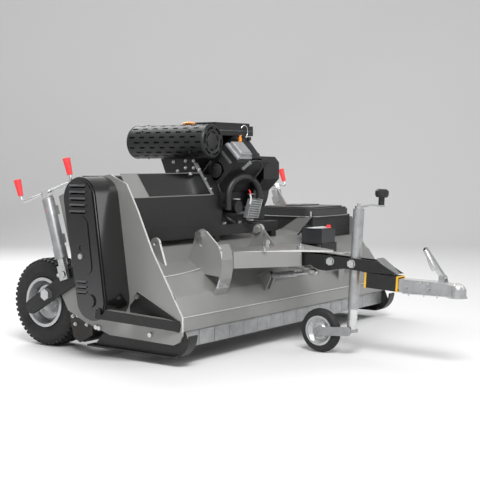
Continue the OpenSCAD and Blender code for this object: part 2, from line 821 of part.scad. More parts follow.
// Bar from the deck pivot past the axle, with the jack pin and the stub axle
module wheel_arm() {
    end = axle + arm_dir * 34;
    color("#252525") along_x(-arm_x1, -arm_x0) {
        racetrack(arm_pivot, 38, end, 32);
        racetrack(arm_pivot + arm_dir * 60, 30, jack_foot, 26);
    }
    color("#b8b8b8") {
        bar_x(-arm_x1 - 30, -arm_x1, jack_foot, 12);
        bar_x(-arm_x1 - 34, -arm_x1 - 28, jack_foot, 16);
        bar_x(-arm_x0 - 1, -inner_w + 2, arm_pivot, 14);
        hex_head(-arm_x1, arm_pivot, 36, 14, -1);
        bar_x(-arm_x0, -tyre_x + 58, axle, 12.5);
        hex_head(-arm_x1, arm_pivot + arm_dir * (norm(arm_vec) - 98), 46, 24, -1);
    }
}
module left_wheel_arm() placed() {
    wheel_arm();
}
module right_wheel_arm() placed() {
    mirror([1, 0, 0]) wheel_arm();
}

rim_barrel_r = rim_r - 10;
module tyre_profile() {
    w = tyre_w / 2;
    crown = 22;
    difference() {
        union() {
            translate([rim_barrel_r, -w + 8]) square([20, tyre_w - 16]);
            translate([rim_r, -w]) square([tyre_r - crown - rim_r, tyre_w]);
            translate([tyre_r - crown - 1, -w + crown]) square([crown + 1, tyre_w - 2 * crown]);
            for (s = [-1, 1]) translate([tyre_r - crown, s * (w - crown)]) circle(crown);
        }
        translate([rim_barrel_r - 1, -w + 26]) square([tyre_r - rim_r - 4, tyre_w - 52]);
    }
}
module tyre() {
    translate([-tyre_x, axle[0], axle[1]]) rotate([0, 90, 0]) rotate_extrude($fn = 96) tyre_profile();
}
module rim() {
    w = tyre_w / 2;
    translate([-tyre_x, axle[0], axle[1]]) rotate([0, 90, 0]) {
        rotate_extrude($fn = 96) {
            // Barrel with two flanges, then the dished disc and the hub
            translate([rim_barrel_r - 4, -w + 4]) square([4, tyre_w - 8]);
            for (s = [-1, 1]) translate([rim_barrel_r - 4, s * (w - 6) - 2]) square([rim_r - rim_barrel_r + 4, 4]);
            polygon([
                [38, -24], [78, -44], [rim_barrel_r - 2, -12], [rim_barrel_r - 2, -6], [78, -38], [38, -18]
            ]);
            translate([12.5 + fit_gap, -54]) square([28, 108]);
        }
    }
}
module left_tyre() placed() {
    color("#303030") tyre();
}
module right_tyre() placed() {
    color("#303030") mirror([1, 0, 0]) tyre();
}
module left_rim() placed() {
    color("#c9c9c9") rim();
}
module right_rim() placed() {
    color("#c9c9c9") mirror([1, 0, 0]) rim();
}

// Rotor tube with flail lugs and stub shafts
row_turn = [270, 30, 150];
function row_pin(k) = [rotor_y, rotor_z] + pin_circle_r * [cos(row_turn[k]), sin(row_turn[k])];
flail_pitch = (2 * inner_w - 150) / flails_per_row;
function flail_x(k, i) = -inner_w + 75 + flail_pitch * (i + 0.5) + (k - 1) * flail_pitch / 3;
module rotor() placed() {
    color("#4f4f4f") {
        bar_x(-inner_w + 34, inner_w - 34, [rotor_y, rotor_z], rotor_r);
        bar_x(-half_w - 100, inner_w - 30, [rotor_y, rotor_z], 20);
        bar_x(inner_w - 34, half_w - 2, [rotor_y, rotor_z], 20);
        for (k = [0:2], i = [0:flails_per_row - 1]) translate([flail_x(k, i), 0, 0]) {
            for (s = [-1, 1]) along_x(s * 27 - 4, s * 27 + 4) racetrack(
                [rotor_y, rotor_z] + (rotor_r - 10) * [cos(row_turn[k]), sin(row_turn[k])], 20, row_pin(k), 14);
            bar_x(-30, 30, row_pin(k), 8);
        }
    }
}
// One row of cutting flails that hang straight down from the rotor's pins
module flail_row(k) {
    tip = row_pin(k) - [0, flail_reach - pin_circle_r - 5];
    color("#6f6f6f") for (i = [0:flails_per_row - 1])
        along_x(flail_x(k, i) - 21, flail_x(k, i) + 21) difference() {
            union() {
                racetrack(row_pin(k), 13, tip, 5);
                translate(row_pin(k)) circle(13);
            }
            translate(row_pin(k)) circle(8 + fit_gap);
        }
}
module flail_row_a() placed() {
    flail_row(0);
}
module flail_row_b() placed() {
    flail_row(1);
}
module flail_row_c() placed() {
    flail_row(2);
}

// Flaps that hang below the front lip on one rod
flap_axis = [-316, lip_bottom_z - 8];
module front_flaps() placed() {
    pitch = (2 * inner_w - 20) / flap_count;
    color("#b5b5b5") {
        for (i = [0:flap_count - 1]) along_x(-inner_w + 10 + i * pitch + 1.5, -inner_w + 10 + (i + 1) * pitch - 1.5)
            union() {
                translate(flap_axis) circle(7);
                polygon([
                    flap_axis + [-4, 0], flap_axis + [0, 0], flap_axis + [0, -62], flap_axis + [-4, -62]
                ]);
            }
        bar_x(-inner_w + 0.5, inner_w - 0.5, flap_axis, 5);
    }
}

// Folded triangular frame with two ears on the hitch pivot and a yoke in front
frame_rear_y = -246;
module hitch_frame() placed() {
    x0 = drawbar_x - yoke_in - yoke_t;
    x1 = drawbar_x + yoke_in + yoke_t;
    wall_z = top_plate_z - 65;
    corner = [gusset_x + 78, -338];
    right = [8, -350];
    color("#a6a6a6") {
        difference() {
            union() {
                // Two ears beside the deck lugs
                for (x = [gusset_x + 7, ear_x + 7]) along_x(x, x + 8) {
                    translate(hitch_axis) circle(24);
                    polygon([
                        hitch_axis + [-24, 0], hitch_axis + [24, 0], [frame_rear_y, top_plate_z + 60],
                        [frame_rear_y, top_plate_z], [-305, top_plate_z], [-305, top_plate_z + 8]
                    ]);
                }
                // Top plate, drawn to a point over the drawbar
                translate([0, 0, top_plate_z]) linear_extrude(yoke_t) polygon([
                    [gusset_x + 7, -305], [gusset_x + 7, frame_rear_y], [right[0], frame_rear_y], right,
                    [drawbar_x + 30, -640], [drawbar_x - 4, -650], [x0, -522], corner, [corner[0], -305]
                ]);
                // Rear, left and right flanges
                translate([0, 0, wall_z]) linear_extrude(66) {
                    polygon([corner, corner + [0, 10], [x0 + yoke_t, -514], [x0 + yoke_t, -522], [x0, -522]]);
                    polygon([right, right + [0, 10], [x1 - yoke_t, -514], [x1 - yoke_t, -522], [x1, -522]]);
                    translate([corner[0], frame_rear_y - 8]) square([right[0] - corner[0], 8]);
                    translate([corner[0], corner[1]]) square([8, frame_rear_y - corner[1]]);
                    translate([right[0] - 8, right[1]]) square([8, frame_rear_y - right[1]]);
                }
                // Bottom plate of the yoke and the turnbuckle bracket
                box([x0, -522, wall_z - 8], [x1, -400, wall_z + 1]);
                box([drawbar_x - 30, -546, wall_z - 16], [drawbar_x + 30, -440, wall_z - 7]);
                for (s = [-1, 1]) along_x(drawbar_x + s * 17 - 4, drawbar_x + s * 17 + 4) polygon([
                    [-490, wall_z - 15], [-546, wall_z - 15], [-574, link_front[1] + 6],
                    [-572, link_front[1] - 12], [-552, link_front[1] - 14]
                ]);
            }
            bar_x(gusset_x, ear_x + 60, hitch_axis, hitch_pin_r + fit_gap);
            bar_x(drawbar_x - 40, drawbar_x + 40, link_front, 8 + fit_gap);
            // Window under the top plate for the turnbuckle
            box([drawbar_x - 40, frame_rear_y - 9, wall_z - 1], [drawbar_x + 40, frame_rear_y + 1, wall_z + 40]);
        }
    }
    color("#d0d0d0") {
        // Swing pin and lock pin
        translate([drawbar_x, swing_pin_y, wall_z - 14]) cylinder(r = swing_pin_r, h = 98);
        translate([drawbar_x, swing_pin_y, top_plate_z + 8]) cylinder(r = 17, h = 14);
        translate([drawbar_x + 22, -287, top_plate_z + 8]) cylinder(r = 12, h = 28);
        bar_x(drawbar_x - 26, drawbar_x + 26, link_front, 8);
    }
}

// Turnbuckle: sleeve with the rear eye, and the rod with the front eye
module on_link() {
    translate([drawbar_x, link_rear[0], link_rear[1]]) rotate([90 - link_tilt, 0, 0]) children();
}
module turnbuckle_sleeve() placed() {
    color("#bdbdbd") on_link() difference() {
        union() {
            rotate([0, 90, 0]) translate([0, 0, -12]) cylinder(r = 15, h = 24);
            cylinder(r = 11, h = 40);
            translate([0, 0, 30]) cylinder(r = 15, h = 120);
        }
        rotate([0, 90, 0]) translate([0, 0, -13]) cylinder(r = 8 + fit_gap, h = 26);
        translate([0, 0, 60]) cylinder(r = 8 + fit_gap, h = 100);
    }
}
module turnbuckle_rod() placed() {
    color("#d8d8d8") on_link() difference() {
        union() {
            translate([0, 0, 90]) cylinder(r = 8, h = link_len - 100);
            translate([0, 0, link_len]) sphere(r = 15);
            translate([0, 0, link_len - 30]) cylinder(r = 11, h = 20);
        }
        translate([-20, 0, link_len]) rotate([0, 90, 0]) cylinder(r = 8 + 0.8, h = 40);
        translate([12, -20, link_len - 20]) cube([20, 40, 40]);
        translate([-32, -20, link_len - 20]) cube([20, 40, 40]);
    }
}

// Pair of black plates from the swing pin to above the square tube
bar_half = jockey_tube_r + 1;
function bar_top(y) = 446 - (-455 - y) * 22 / 438;
module drawbar_plates() placed() {
    outline = [
        [-458, bar_top(-458)], [-893, bar_top(-893)], [-985, bar_top(-985) - 46], [-833, 373.4], [-812, 377],
        [-734, 384], [-640, 369], [-596, 372], [-560, 390], [-458, 389]
    ];
    color("#2b2b2b") {
        for (s = [-1, 1]) along_x(
            drawbar_x + (s < 0 ? -bar_half - bar_plate_t : bar_half),
            drawbar_x + (s < 0 ? -bar_half : bar_half + bar_plate_t)) polygon(outline);
        // Rear block that turns on the swing pin
        difference() {
            box([drawbar_x - bar_half, -515, 390], [drawbar_x + bar_half, -458, 444]);
            translate([drawbar_x, swing_pin_y, 380]) cylinder(r = swing_pin_r + fit_gap, h = 80);
        }
        // Spacer behind the jockey tube and top strap in front of it
        box([drawbar_x - bar_half, -680, 392], [drawbar_x + bar_half, -640, 430]);
        box([drawbar_x - bar_half, -890, 396], [drawbar_x + bar_half, -850, 420]);
        // Clamp half rings round the jockey tube
        difference() {
            on_jockey() translate([-bar_half, -bar_half - 8, -14]) cube([2 * bar_half, 2 * bar_half + 16, 30]);
            on_jockey() translate([0, 0, -60]) cylinder(r = jockey_tube_r, h = 120);
        }
    }
    color("#cfcfcf") for (s = [-1, 1], yz = [[-663, 412], [-769, 407]]) {
        x = drawbar_x + s * (bar_half + bar_plate_t);
        translate([x, yz[0], yz[1]]) rotate([0, 90 * s, 0]) {
            cylinder(r = 18, h = 3);
            cylinder(d = 30 / cos(30), h = 14, $fn = 6);
        }
    }
}

module on_bar() {
    translate([drawbar_x, -833, 373.4]) rotate([90 + bar_pitch, 0, 0]) children();
}
module drawbar_tube() placed() {
    h = square_tube / 2;
    l = 150;
    color("#2b2b2b") on_bar() difference() {
        translate([-h, -2 * h, 8]) cube([2 * h, 2 * h, l - 8]);
        translate([-h + 5, -2 * h + 5, 7]) cube([2 * h - 10, 2 * h - 10, l]);
    }
    color("#e0b020") on_bar() {
        translate([-h - 1, -2 * h - 1, 0]) cube([2 * h + 2, 2 * h + 1, 8]);
        difference() {
            translate([-h - 1, -2 * h - 1, l]) cube([2 * h + 2, 2 * h + 1, 8]);
            translate([-h + 5, -2 * h + 5, l - 1]) cube([2 * h - 10, 2 * h - 10, 10]);
        }
    }
}

// Pressed coupling head: channel, ball dome and lips
module coupling_head() placed() {
    w = 30;
    t = 4;
    socket_r = tow_ball_d / 2 + 0.4;
    color("#c6c6c6") {
        difference() {
            union() {
                translate([drawbar_x - w, 0, 0]) rotate([90, 0, 90]) linear_extrude(2 * w) polygon([
                    [coupling_y0, 300], [coupling_y0, 356], [-1180, 352], [ball_y, 342], [ball_y, 292],
                    [-1140, 298]
                ]);
                translate([drawbar_x, ball_y, 292]) cylinder(r = w + 4, h = 36);
                translate([drawbar_x, ball_y, ball_z + 4]) sphere(r = socket_r + 6);
                translate([drawbar_x, ball_y, 292]) cylinder(r = w + 9, h = 5);
            }
            translate([drawbar_x - w + t, 0, 0]) rotate([90, 0, 90]) linear_extrude(2 * (w - t)) polygon([
                [coupling_y0 - t, 280], [coupling_y0 - t, 356 - t], [-1180, 352 - t], [ball_y + 34, 344 - t],
                [ball_y + 34, 280]
            ]);
            translate([drawbar_x, ball_y, ball_z]) sphere(r = socket_r);
            translate([drawbar_x, ball_y, 280]) cylinder(r = socket_r, h = ball_z - 280);
        }
        // Tongue inside the square tube
        box([drawbar_x - square_tube / 2 + 5 + run_gap, -1010, 312], [drawbar_x + square_tube / 2 - 5 - run_gap, -950, 346]);
        // Handle ears
        for (s = [-1, 1]) along_x(drawbar_x + s * 16 - 3, drawbar_x + s * 16 + 3) difference() {
            union() {
                translate([-1179, 372]) circle(11);
                polygon([[-1168, 349], [-1168, 373], [-1190, 373], [-1196, 349]]);
            }
        }
    }
    color("#b0b0b0") {
        bar_x(drawbar_x - 22, drawbar_x + 22, [-1179, 372], 5);
        for (y = [coupling_y0 - 34, -1130]) translate([drawbar_x, y, 290]) bar_x(-w - 8, w + 8, [0, 32], 6);
    }
}
module coupling_handle() placed() {
    pivot = [-1179, 372];
    color("#d6d6d6") along_x(drawbar_x - 11, drawbar_x + 11) difference() {
        union() {
            polygon([[-1187, 378], [-1106, 489], [-1099, 491], [-1093, 482], [-1098, 472], [-1171, 366]]);
            translate(pivot) circle(12);
        }
        translate(pivot) circle(5 + fit_gap);
    }
}

// Children stand on the tilted jockey tube axis, origin at the clamp
module on_jockey() {
    translate([drawbar_x, jockey_y, jockey_z]) rotate([jockey_tilt, 0, 0]) children();
}
tube_top = 236;
tube_low = -200;
leg_end = -290;
module jockey_tube() placed() {
    color("#a0a0a0") on_jockey() {
        difference() {
            translate([0, 0, tube_low]) cylinder(r = jockey_tube_r, h = tube_top - tube_low);
            translate([0, 0, tube_low - 1]) cylinder(r = jockey_tube_r - 3, h = tube_top - tube_low - 11);
            cylinder(r = 8 + fit_gap, h = 300);
        }
    }
}
module jockey_leg() placed() {
    r = jockey_tube_r - 3 - fit_gap;
    color("#c2c2c2") on_jockey() difference() {
        translate([0, 0, leg_end]) cylinder(r = r, h = 330);
        translate([0, 0, leg_end + 20]) cylinder(r = 10.5, h = 330);
    }
}
wheel_c = [-596 - (140 - jockey_trail), jockey_r];
module jockey_fork() placed() {
    side = jockey_w / 2 + 8;
    color("#9a9a9a") {
        on_jockey() difference() {
            translate([0, 0, leg_end - 12]) cylinder(r = jockey_tube_r + 3, h = 12 - run_gap);
            translate([0, 0, leg_end - 20]) cylinder(r = 4, h = 10);
        }
        along_x(drawbar_x - side - 5, drawbar_x - side) racetrack([-748, 110], 20, wheel_c, 18);
        on_jockey() translate([-side - 4, -18, leg_end - 12]) cube([side + 5, 36, 10]);
        bar_x(drawbar_x - side - 12, drawbar_x + jockey_w / 2 + 6, wheel_c, 6);
    }
}
module jockey_tyre() placed() {
    color("#303030") translate([drawbar_x, wheel_c[0], wheel_c[1]]) rotate([0, 90, 0]) rotate_extrude() difference() {
        union() {
            translate([66, -jockey_w / 2 + 4]) square([20, jockey_w - 8]);
            translate([jockey_r - 22, 0]) scale([1, 1]) circle(22);
        }
        translate([40, -50]) square([26, 100]);
    }
}
module jockey_rim() placed() {
    color("#bcbcbc") translate([drawbar_x, wheel_c[0], wheel_c[1]]) rotate([0, 90, 0]) rotate_extrude() {
        translate([58, -jockey_w / 2]) square([8, jockey_w]);
        translate([6 + fit_gap, -3]) square([56, 6]);
        translate([6 + fit_gap, -26]) square([14, 52]);
    }
}
module jockey_crank() placed() {
    color("#b4b4b4") on_jockey() {
        translate([0, 0, -160]) cylinder(r = 8, h = 420);
        translate([0, 0, tube_top + run_gap]) cylinder(r = 17, h = 12);
        translate([-9, -62, 258]) rotate([-14, 0, 0]) translate([0, 0, -4]) cube([18, 66, 8]);
        translate([-11, -120, 254]) cube([22, 64, 8]);
    }
    color("#2a2a2a") on_jockey() translate([0, -107, 261]) {
        cylinder(r = 13, h = 36);
        translate([0, 0, 34]) cylinder(r1 = 24, r2 = 29, h = 10);
        translate([0, 0, 44]) cylinder(r = 29, h = 16);
        translate([0, 0, 60]) cylinder(r1 = 29, r2 = 20, h = 8);
    }
}

deck_shell();
left_side_plate();
right_side_plate();
left_skid();
right_skid();
roller_brackets();
deck_brackets();
rotor_bearings();
belt_cover();
belt_guard();
drive_belts();
engine_rails();
shaft_housing();
sign_plate();
tank_hood();
battery();
frame_bolts();
engine_block();
engine_cylinders();
blower_shroud();
valve_covers();
air_cleaner();
muffler();
heat_shield();
intake_hose();
oil_filter();
oil_cooler();
left_jack_tube();
right_jack_tube();
front_flaps();
rotor();
rotor_pulley();
flail_row_a();
flail_row_b();
flail_row_c();
drive_shaft();
rear_roller();
left_wheel_arm();
right_wheel_arm();
left_tyre();
left_rim();
right_tyre();
right_rim();
left_jack_screw();
right_jack_screw();
left_crank();
right_crank();
hitch_frame();
drawbar_plates();
drawbar_tube();
coupling_head();
coupling_handle();
jockey_tube();
jockey_leg();
jockey_fork();
jockey_tyre();
jockey_rim();
jockey_crank();
turnbuckle_sleeve();
turnbuckle_rod();
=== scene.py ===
import math

import bmesh
import bpy
from mathutils import Matrix, Vector


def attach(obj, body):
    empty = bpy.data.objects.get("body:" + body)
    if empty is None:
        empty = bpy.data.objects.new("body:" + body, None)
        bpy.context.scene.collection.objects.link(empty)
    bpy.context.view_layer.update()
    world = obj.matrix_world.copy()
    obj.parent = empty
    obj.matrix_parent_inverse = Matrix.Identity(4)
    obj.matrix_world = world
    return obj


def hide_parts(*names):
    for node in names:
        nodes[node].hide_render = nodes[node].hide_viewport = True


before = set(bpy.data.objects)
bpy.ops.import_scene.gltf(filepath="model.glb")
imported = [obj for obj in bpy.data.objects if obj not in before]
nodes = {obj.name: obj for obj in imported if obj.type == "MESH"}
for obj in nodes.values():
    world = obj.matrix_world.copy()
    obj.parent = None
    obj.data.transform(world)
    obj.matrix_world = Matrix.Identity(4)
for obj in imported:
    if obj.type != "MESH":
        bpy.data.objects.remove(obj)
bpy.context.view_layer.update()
print("frame loaded:", len(nodes), "nodes")

# The row frame's origin lies here in the mower's own drawing, in mm
drawing = {"originX": 21.0, "originY": -286.0}


# Drawing millimetres to metres in the scene
def place(x, y, z):
    return Vector(((x - drawing["originX"]) / 1000, (y - drawing["originY"]) / 1000, z / 1000))


# Camera, in drawing mm, and lights, in metres

camera = {"x": -4145, "y": -3000, "z": 845, "azimuth": -54.0, "pitch": 4.3, "lens": 78.0, "sensor": 36,
          "seesTo": 400}


def makeCamera():
    data = bpy.data.cameras.new("Camera")
    data.lens = camera["lens"]
    data.sensor_width = camera["sensor"]
    data.clip_end = camera["seesTo"]
    data.dof.use_dof = False
    item = bpy.data.objects.new("Camera", data)
    item.location = place(camera["x"], camera["y"], camera["z"])
    item.rotation_euler = (math.radians(90 - camera["pitch"]), 0, math.radians(camera["azimuth"]))
    bpy.context.scene.collection.objects.link(item)
    bpy.context.scene.camera = item


lamps = {
    "key": {"at": (-3.4, -2.6, 4.4), "size": 2.2, "power": 300},
    "fill": {"at": (2.4, -4.4, 2.4), "size": 3.0, "power": 50},
    "back": {"at": (1.0, 3.8, 3.6), "size": 3.0, "power": 160},
}
lampAim = (0, 0, 0.35)


def makeLamps():
    for name, lamp in lamps.items():
        data = bpy.data.lights.new(name, "AREA")
        data.energy = lamp["power"]
        data.size = lamp["size"]
        item = bpy.data.objects.new(name, data)
        item.location = lamp["at"]
        toAim = Vector(lampAim) - Vector(lamp["at"])
        item.rotation_euler = toAim.to_track_quat("-Z", "Y").to_euler()
        bpy.context.scene.collection.objects.link(item)


makeCamera()
makeLamps()
bpy.context.scene.view_settings.view_transform = "Standard"
print("camera and lamps placed")


# Materials: one function for a colour, one for a node

# Linear colour from an sRGB hex code
def linear(code, alpha=1.0):
    parts = [int(code[i:i + 2], 16) / 255 for i in (1, 3, 5)]
    return tuple(c / 12.92 if c <= 0.04045 else ((c + 0.055) / 1.055) ** 2.4 for c in parts) + (alpha,)


# Settings go to the node where it has one of that name, else to its socket
def addNode(tree, kind, settings=None, links=None):
    node = tree.nodes.new(kind)
    for key, value in (settings or {}).items():
        if isinstance(key, str) and hasattr(node, key):
            setattr(node, key, value)
        else:
            node.inputs[key].default_value = value
    for key, source in (links or {}).items():
        tree.links.new(source, node.inputs[key])
    return node


# What the coats share: relief of the grain in metres, gloss of a clear skin, size and shade of dust
skin = {"relief": 0.0006, "coatRoughness": 0.18, "dustMm": 14, "dustColour": "#8c8880"}


# A surface with slow shade changes, a fine grain and a bump, by real sizes in mm
def surface(name, colour, shade, roughness, cloudMm, grainMm, bump, metallic=0.0, spread=0.08, coat=0.0,
            dust=0.0):
    material = bpy.data.materials.new(name)
    material.use_nodes = True
    tree = material.node_tree
    shader = tree.nodes["Principled BSDF"]
    shader.inputs["Metallic"].default_value = metallic
    shader.inputs["Coat Weight"].default_value = coat
    shader.inputs["Coat Roughness"].default_value = skin["coatRoughness"]
    position = addNode(tree, "ShaderNodeTexCoord").outputs["Object"]
    cloud = addNode(tree, "ShaderNodeTexNoise",
                    {"Scale": 1000 / cloudMm, "Detail": 3.0, "Roughness": 0.6}, {"Vector": position})
    grain = addNode(tree, "ShaderNodeTexNoise",
                    {"Scale": 1000 / grainMm, "Detail": 2.0, "Roughness": 0.5}, {"Vector": position})
    ramp = addNode(tree, "ShaderNodeValToRGB", links={"Fac": cloud.outputs["Fac"]})
    for element, at, code in zip(ramp.color_ramp.elements, (0.32, 0.72), (colour, shade)):
        element.position = at
        element.color = linear(code)
    colourOut = ramp.outputs["Color"]
    if dust:
        specks = addNode(tree, "ShaderNodeTexNoise",
                         {"Scale": 1000 / skin["dustMm"], "Detail": 6.0, "Roughness": 0.75},
                         {"Vector": position})
        mask = addNode(tree, "ShaderNodeMapRange", {"From Min": 0.5, "From Max": 0.85, "To Max": dust},
                       {"Value": specks.outputs["Fac"]})
        # Sockets 0, 6 and 7 of a colour mix are its factor and its two colours
        mixed = addNode(tree, "ShaderNodeMix", {"data_type": "RGBA", 7: linear(skin["dustColour"])},
                        {0: mask.outputs[0], 6: colourOut})
        colourOut = mixed.outputs[2]
    tree.links.new(colourOut, shader.inputs["Base Color"])
    rough = addNode(tree, "ShaderNodeMapRange",
                    {"From Min": 0.3, "From Max": 0.7, "To Min": max(roughness - spread, 0.03),
                     "To Max": min(roughness + spread, 1.0)}, {"Value": grain.outputs["Fac"]})
    tree.links.new(rough.outputs[0], shader.inputs["Roughness"])
    relief = addNode(tree, "ShaderNodeBump", {"Strength": bump, "Distance": skin["relief"]},
                     {"Height": grain.outputs["Fac"]})
    tree.links.new(relief.outputs[0], shader.inputs["Normal"])
    return material


finish = {
    # Silver-grey powder coat on sheet steel: satin, with a faint orange-peel grain about 3 mm wide
    "powderSilver": surface("SilverPowderCoat", "#8b8b8a", "#979795", roughness=0.36, metallic=0.35,
                            cloudMm=380, grainMm=3.2, bump=0.06, spread=0.06),
    # Black powder coat on steel: deep grey and satin, with a little dust in its grain
    "powderBlack": surface("BlackPowderCoat", "#101010", "#191919", roughness=0.42, cloudMm=260,
                           grainMm=2.6, bump=0.07, dust=0.05),
    # Vacuum formed ABS of the belt cover: near black and glossy, so it mirrors the backdrop
    "absGloss": surface("BlackGlossAbs", "#0a0a0a", "#131313", roughness=0.16, cloudMm=160,
                        grainMm=6.0, bump=0.03, spread=0.06, coat=0.9),
    # Moulded glass filled nylon of the engine cowls: matte, with a fine moulded grain
    "nylonBlack": surface("BlackMouldedNylon", "#131314", "#1c1c1d", roughness=0.5, cloudMm=120,
                          grainMm=1.2, bump=0.12, spread=0.1),
    # Rotationally moulded polyethylene of the hood: charcoal and a little waxy
    "hoodPlastic": surface("CharcoalPolyethylene", "#2f2f2f", "#3a3a3a", roughness=0.48, cloudMm=300,
                           grainMm=1.6, bump=0.1),
    # The same polyethylene on the lid's upward faces: greyer and smoother, with a little dust
    "hoodTop": surface("PalerPolyethyleneLidTop", "#464646", "#525252", roughness=0.4, cloudMm=300,
                       grainMm=1.6, bump=0.1, dust=0.06),
    # Electroplated zinc on steel: bright and faintly blue, with a fine uneven gloss
    "zinc": surface("BrightZincPlate", "#c9cacb", "#dadbdc", roughness=0.24, metallic=0.9, cloudMm=60,
                    grainMm=1.5, bump=0.04, spread=0.1),
    # Hot-dip galvanised steel: dull grey, with slow clouds of spangle
    "galvanised": surface("DullGalvanisedSteel", "#9c9d9e", "#b0b1b2", roughness=0.4, metallic=0.75,
                          cloudMm=40, grainMm=4.0, bump=0.05, spread=0.1),
    # Die-cast aluminium: pale, with a skin like fine sand
    "castAluminium": surface("DieCastAluminium", "#b9bbbd", "#d0d1d2", roughness=0.38, metallic=0.75,
                             cloudMm=60, grainMm=1.0, bump=0.16, spread=0.1),
    # Painted iron castings of the engine: dark, rough and slightly metallic
    "castDark": surface("DarkEngineCasting", "#1e1f20", "#2b2c2d", roughness=0.5, metallic=0.35,
                        cloudMm=60, grainMm=1.4, bump=0.2, spread=0.12),
    # Heat-proof paint sprayed on pressed steel: charcoal and matte
    "heatPaint": surface("HeatProofBlackPaint", "#1b1c1d", "#262728", roughness=0.46, metallic=0.15,
                         cloudMm=120, grainMm=1.2, bump=0.08, spread=0.1),
    # Forged steel of the flails and rotor, rubbed by soil: brownish, with a rough uneven gloss
    "wornSteel": surface("WornForgedSteel", "#4a4744", "#625e5a", roughness=0.46, metallic=0.8,
                         cloudMm=40, grainMm=1.6, bump=0.16, spread=0.14),
    # Enamelled pressed steel of the rims: smooth and pale silver
    "rimSilver": surface("SilverRimPaint", "#b9babb", "#cbcccd", roughness=0.3, metallic=0.55,
                         cloudMm=90, grainMm=2.2, bump=0.04),
    # Moulded rubber of the tyres: matte, with dry dust in its grain
    "tyreRubber": surface("MouldedTyreRubber", "#191919", "#222222", roughness=0.72, cloudMm=90,
                          grainMm=1.4, bump=0.16, dust=0.12),
    # Extruded rubber of the hoses and leads: black with a soft sheen
    "hoseRubber": surface("BlackHoseRubber", "#181818", "#212121", roughness=0.45, cloudMm=60,
                          grainMm=1.4, bump=0.08),
    # Wrapped rubber of the drive belts: black and dull
    "beltRubber": surface("BeltRubber", "#131313", "#1b1b1b", roughness=0.7, cloudMm=60, grainMm=1.4,
                          bump=0.08),
    # Moulded polypropylene of the battery case: charcoal, half matte
    "batteryCase": surface("GreyBatteryCase", "#2b2c2e", "#37383a", roughness=0.42, cloudMm=60,
                           grainMm=1.4, bump=0.08),
    # Dipped vinyl of the grips and caps: strong red, half gloss
    "redGrip": surface("RedVinylGrip", "#f2353a", "#ff4a4c", roughness=0.36, cloudMm=60, grainMm=1.2,
                       bump=0.08),
    # Yellow enamel on the ends of the drawbar tube: smooth and half gloss
    "yellowPaint": surface("YellowEndCap", "#e2ab18", "#efbc2c", roughness=0.4, cloudMm=60,
                           grainMm=1.2, bump=0.05),
    # Moulded orange nylon of the breather plug
    "orangePlug": surface("OrangePlug", "#f08a12", "#fb9c22", roughness=0.38, cloudMm=60, grainMm=1.2,
                          bump=0.05),
    # Woven polyester strap: pale grey and matte at this distance
    "whiteStrap": surface("PaleStrap", "#cdd0d2", "#dcdedf", roughness=0.5, cloudMm=60, grainMm=1.2,
                          bump=0.05),
    # Thin bronze-black paint on laser cut plate, dusty from the road
    "brownBracket": surface("BronzeBlackPaint", "#1f1c18", "#2b2722", roughness=0.45, metallic=0.1,
                            cloudMm=90, grainMm=1.6, bump=0.08, spread=0.1, dust=0.1),
    # Copper pipe that heat has stained: orange and bright
    "copper": surface("HeatedCopper", "#c9803f", "#e39a55", roughness=0.3, metallic=0.9, cloudMm=30,
                      grainMm=1.0, bump=0.04),
    # Powder coat rubbed thin on sheared edges, and a painted highlight: paler and shinier than the faces
    # beside it
    "silverEdgeHighlight": surface("RubbedSilverEdgeHighlight", "#d6d6d4", "#e6e6e4", roughness=0.26, metallic=0.5,
                          cloudMm=60, grainMm=2.0, bump=0.04),
    # Black coat rubbed thin on edges and louvres, and a painted highlight: mid grey, half gloss
    "blackEdgeHighlight": surface("RubbedBlackEdgeHighlight", "#4c4d50", "#606164", roughness=0.32, metallic=0.3,
                         cloudMm=60, grainMm=2.0, bump=0.04),
    # Painted shade behind the slots, where no light reaches: black and dead matte
    "shadowBlack": surface("PaintedShadowBlack", "#050505", "#0a0a0a", roughness=0.8, cloudMm=60,
                           grainMm=2.0, bump=0.04),
}

# Nodes by the finish they wear
wears = {
    "powderSilver": ["deck_shell", "left_side_plate", "right_side_plate", "deck_brackets",
                     "hitch_frame", "sign_plate"],
    "powderBlack": ["left_skid", "right_skid", "belt_guard", "engine_rails", "shaft_housing",
                    "rear_roller", "left_wheel_arm", "right_wheel_arm", "drawbar_plates",
                    "drawbar_tube", "oil_filter"],
    "galvanised": ["left_jack_tube", "right_jack_tube", "front_flaps", "jockey_tube", "jockey_fork",
                   "coupling_head"],
    "zinc": ["frame_bolts", "left_jack_screw", "right_jack_screw", "left_crank", "right_crank",
             "coupling_handle", "jockey_leg", "jockey_crank", "turnbuckle_sleeve", "turnbuckle_rod"],
    "brownBracket": ["roller_brackets"],
    "absGloss": ["belt_cover"],
    "hoodPlastic": ["tank_hood"],
    "nylonBlack": ["blower_shroud", "air_cleaner"],
    "castDark": ["rotor_bearings", "engine_block", "engine_cylinders", "rotor_pulley", "drive_shaft"],
    "castAluminium": ["valve_covers", "oil_cooler"],
    # The muffler inside the shield shows only through its slots: painted shade
    "shadowBlack": ["muffler"],
    "heatPaint": ["heat_shield"],
    "wornSteel": ["rotor", "flail_row_a", "flail_row_b", "flail_row_c"],
    "beltRubber": ["drive_belts"],
    "hoseRubber": ["intake_hose"],
    "batteryCase": ["battery"],
    "tyreRubber": ["left_tyre", "right_tyre", "jockey_tyre"],
    "rimSilver": ["left_rim", "right_rim", "jockey_rim"],
}
for key, names in wears.items():
    for name in names:
        nodes[name].data.materials.clear()
        nodes[name].data.materials.append(finish[key])
print("finishes assigned:", len(finish))


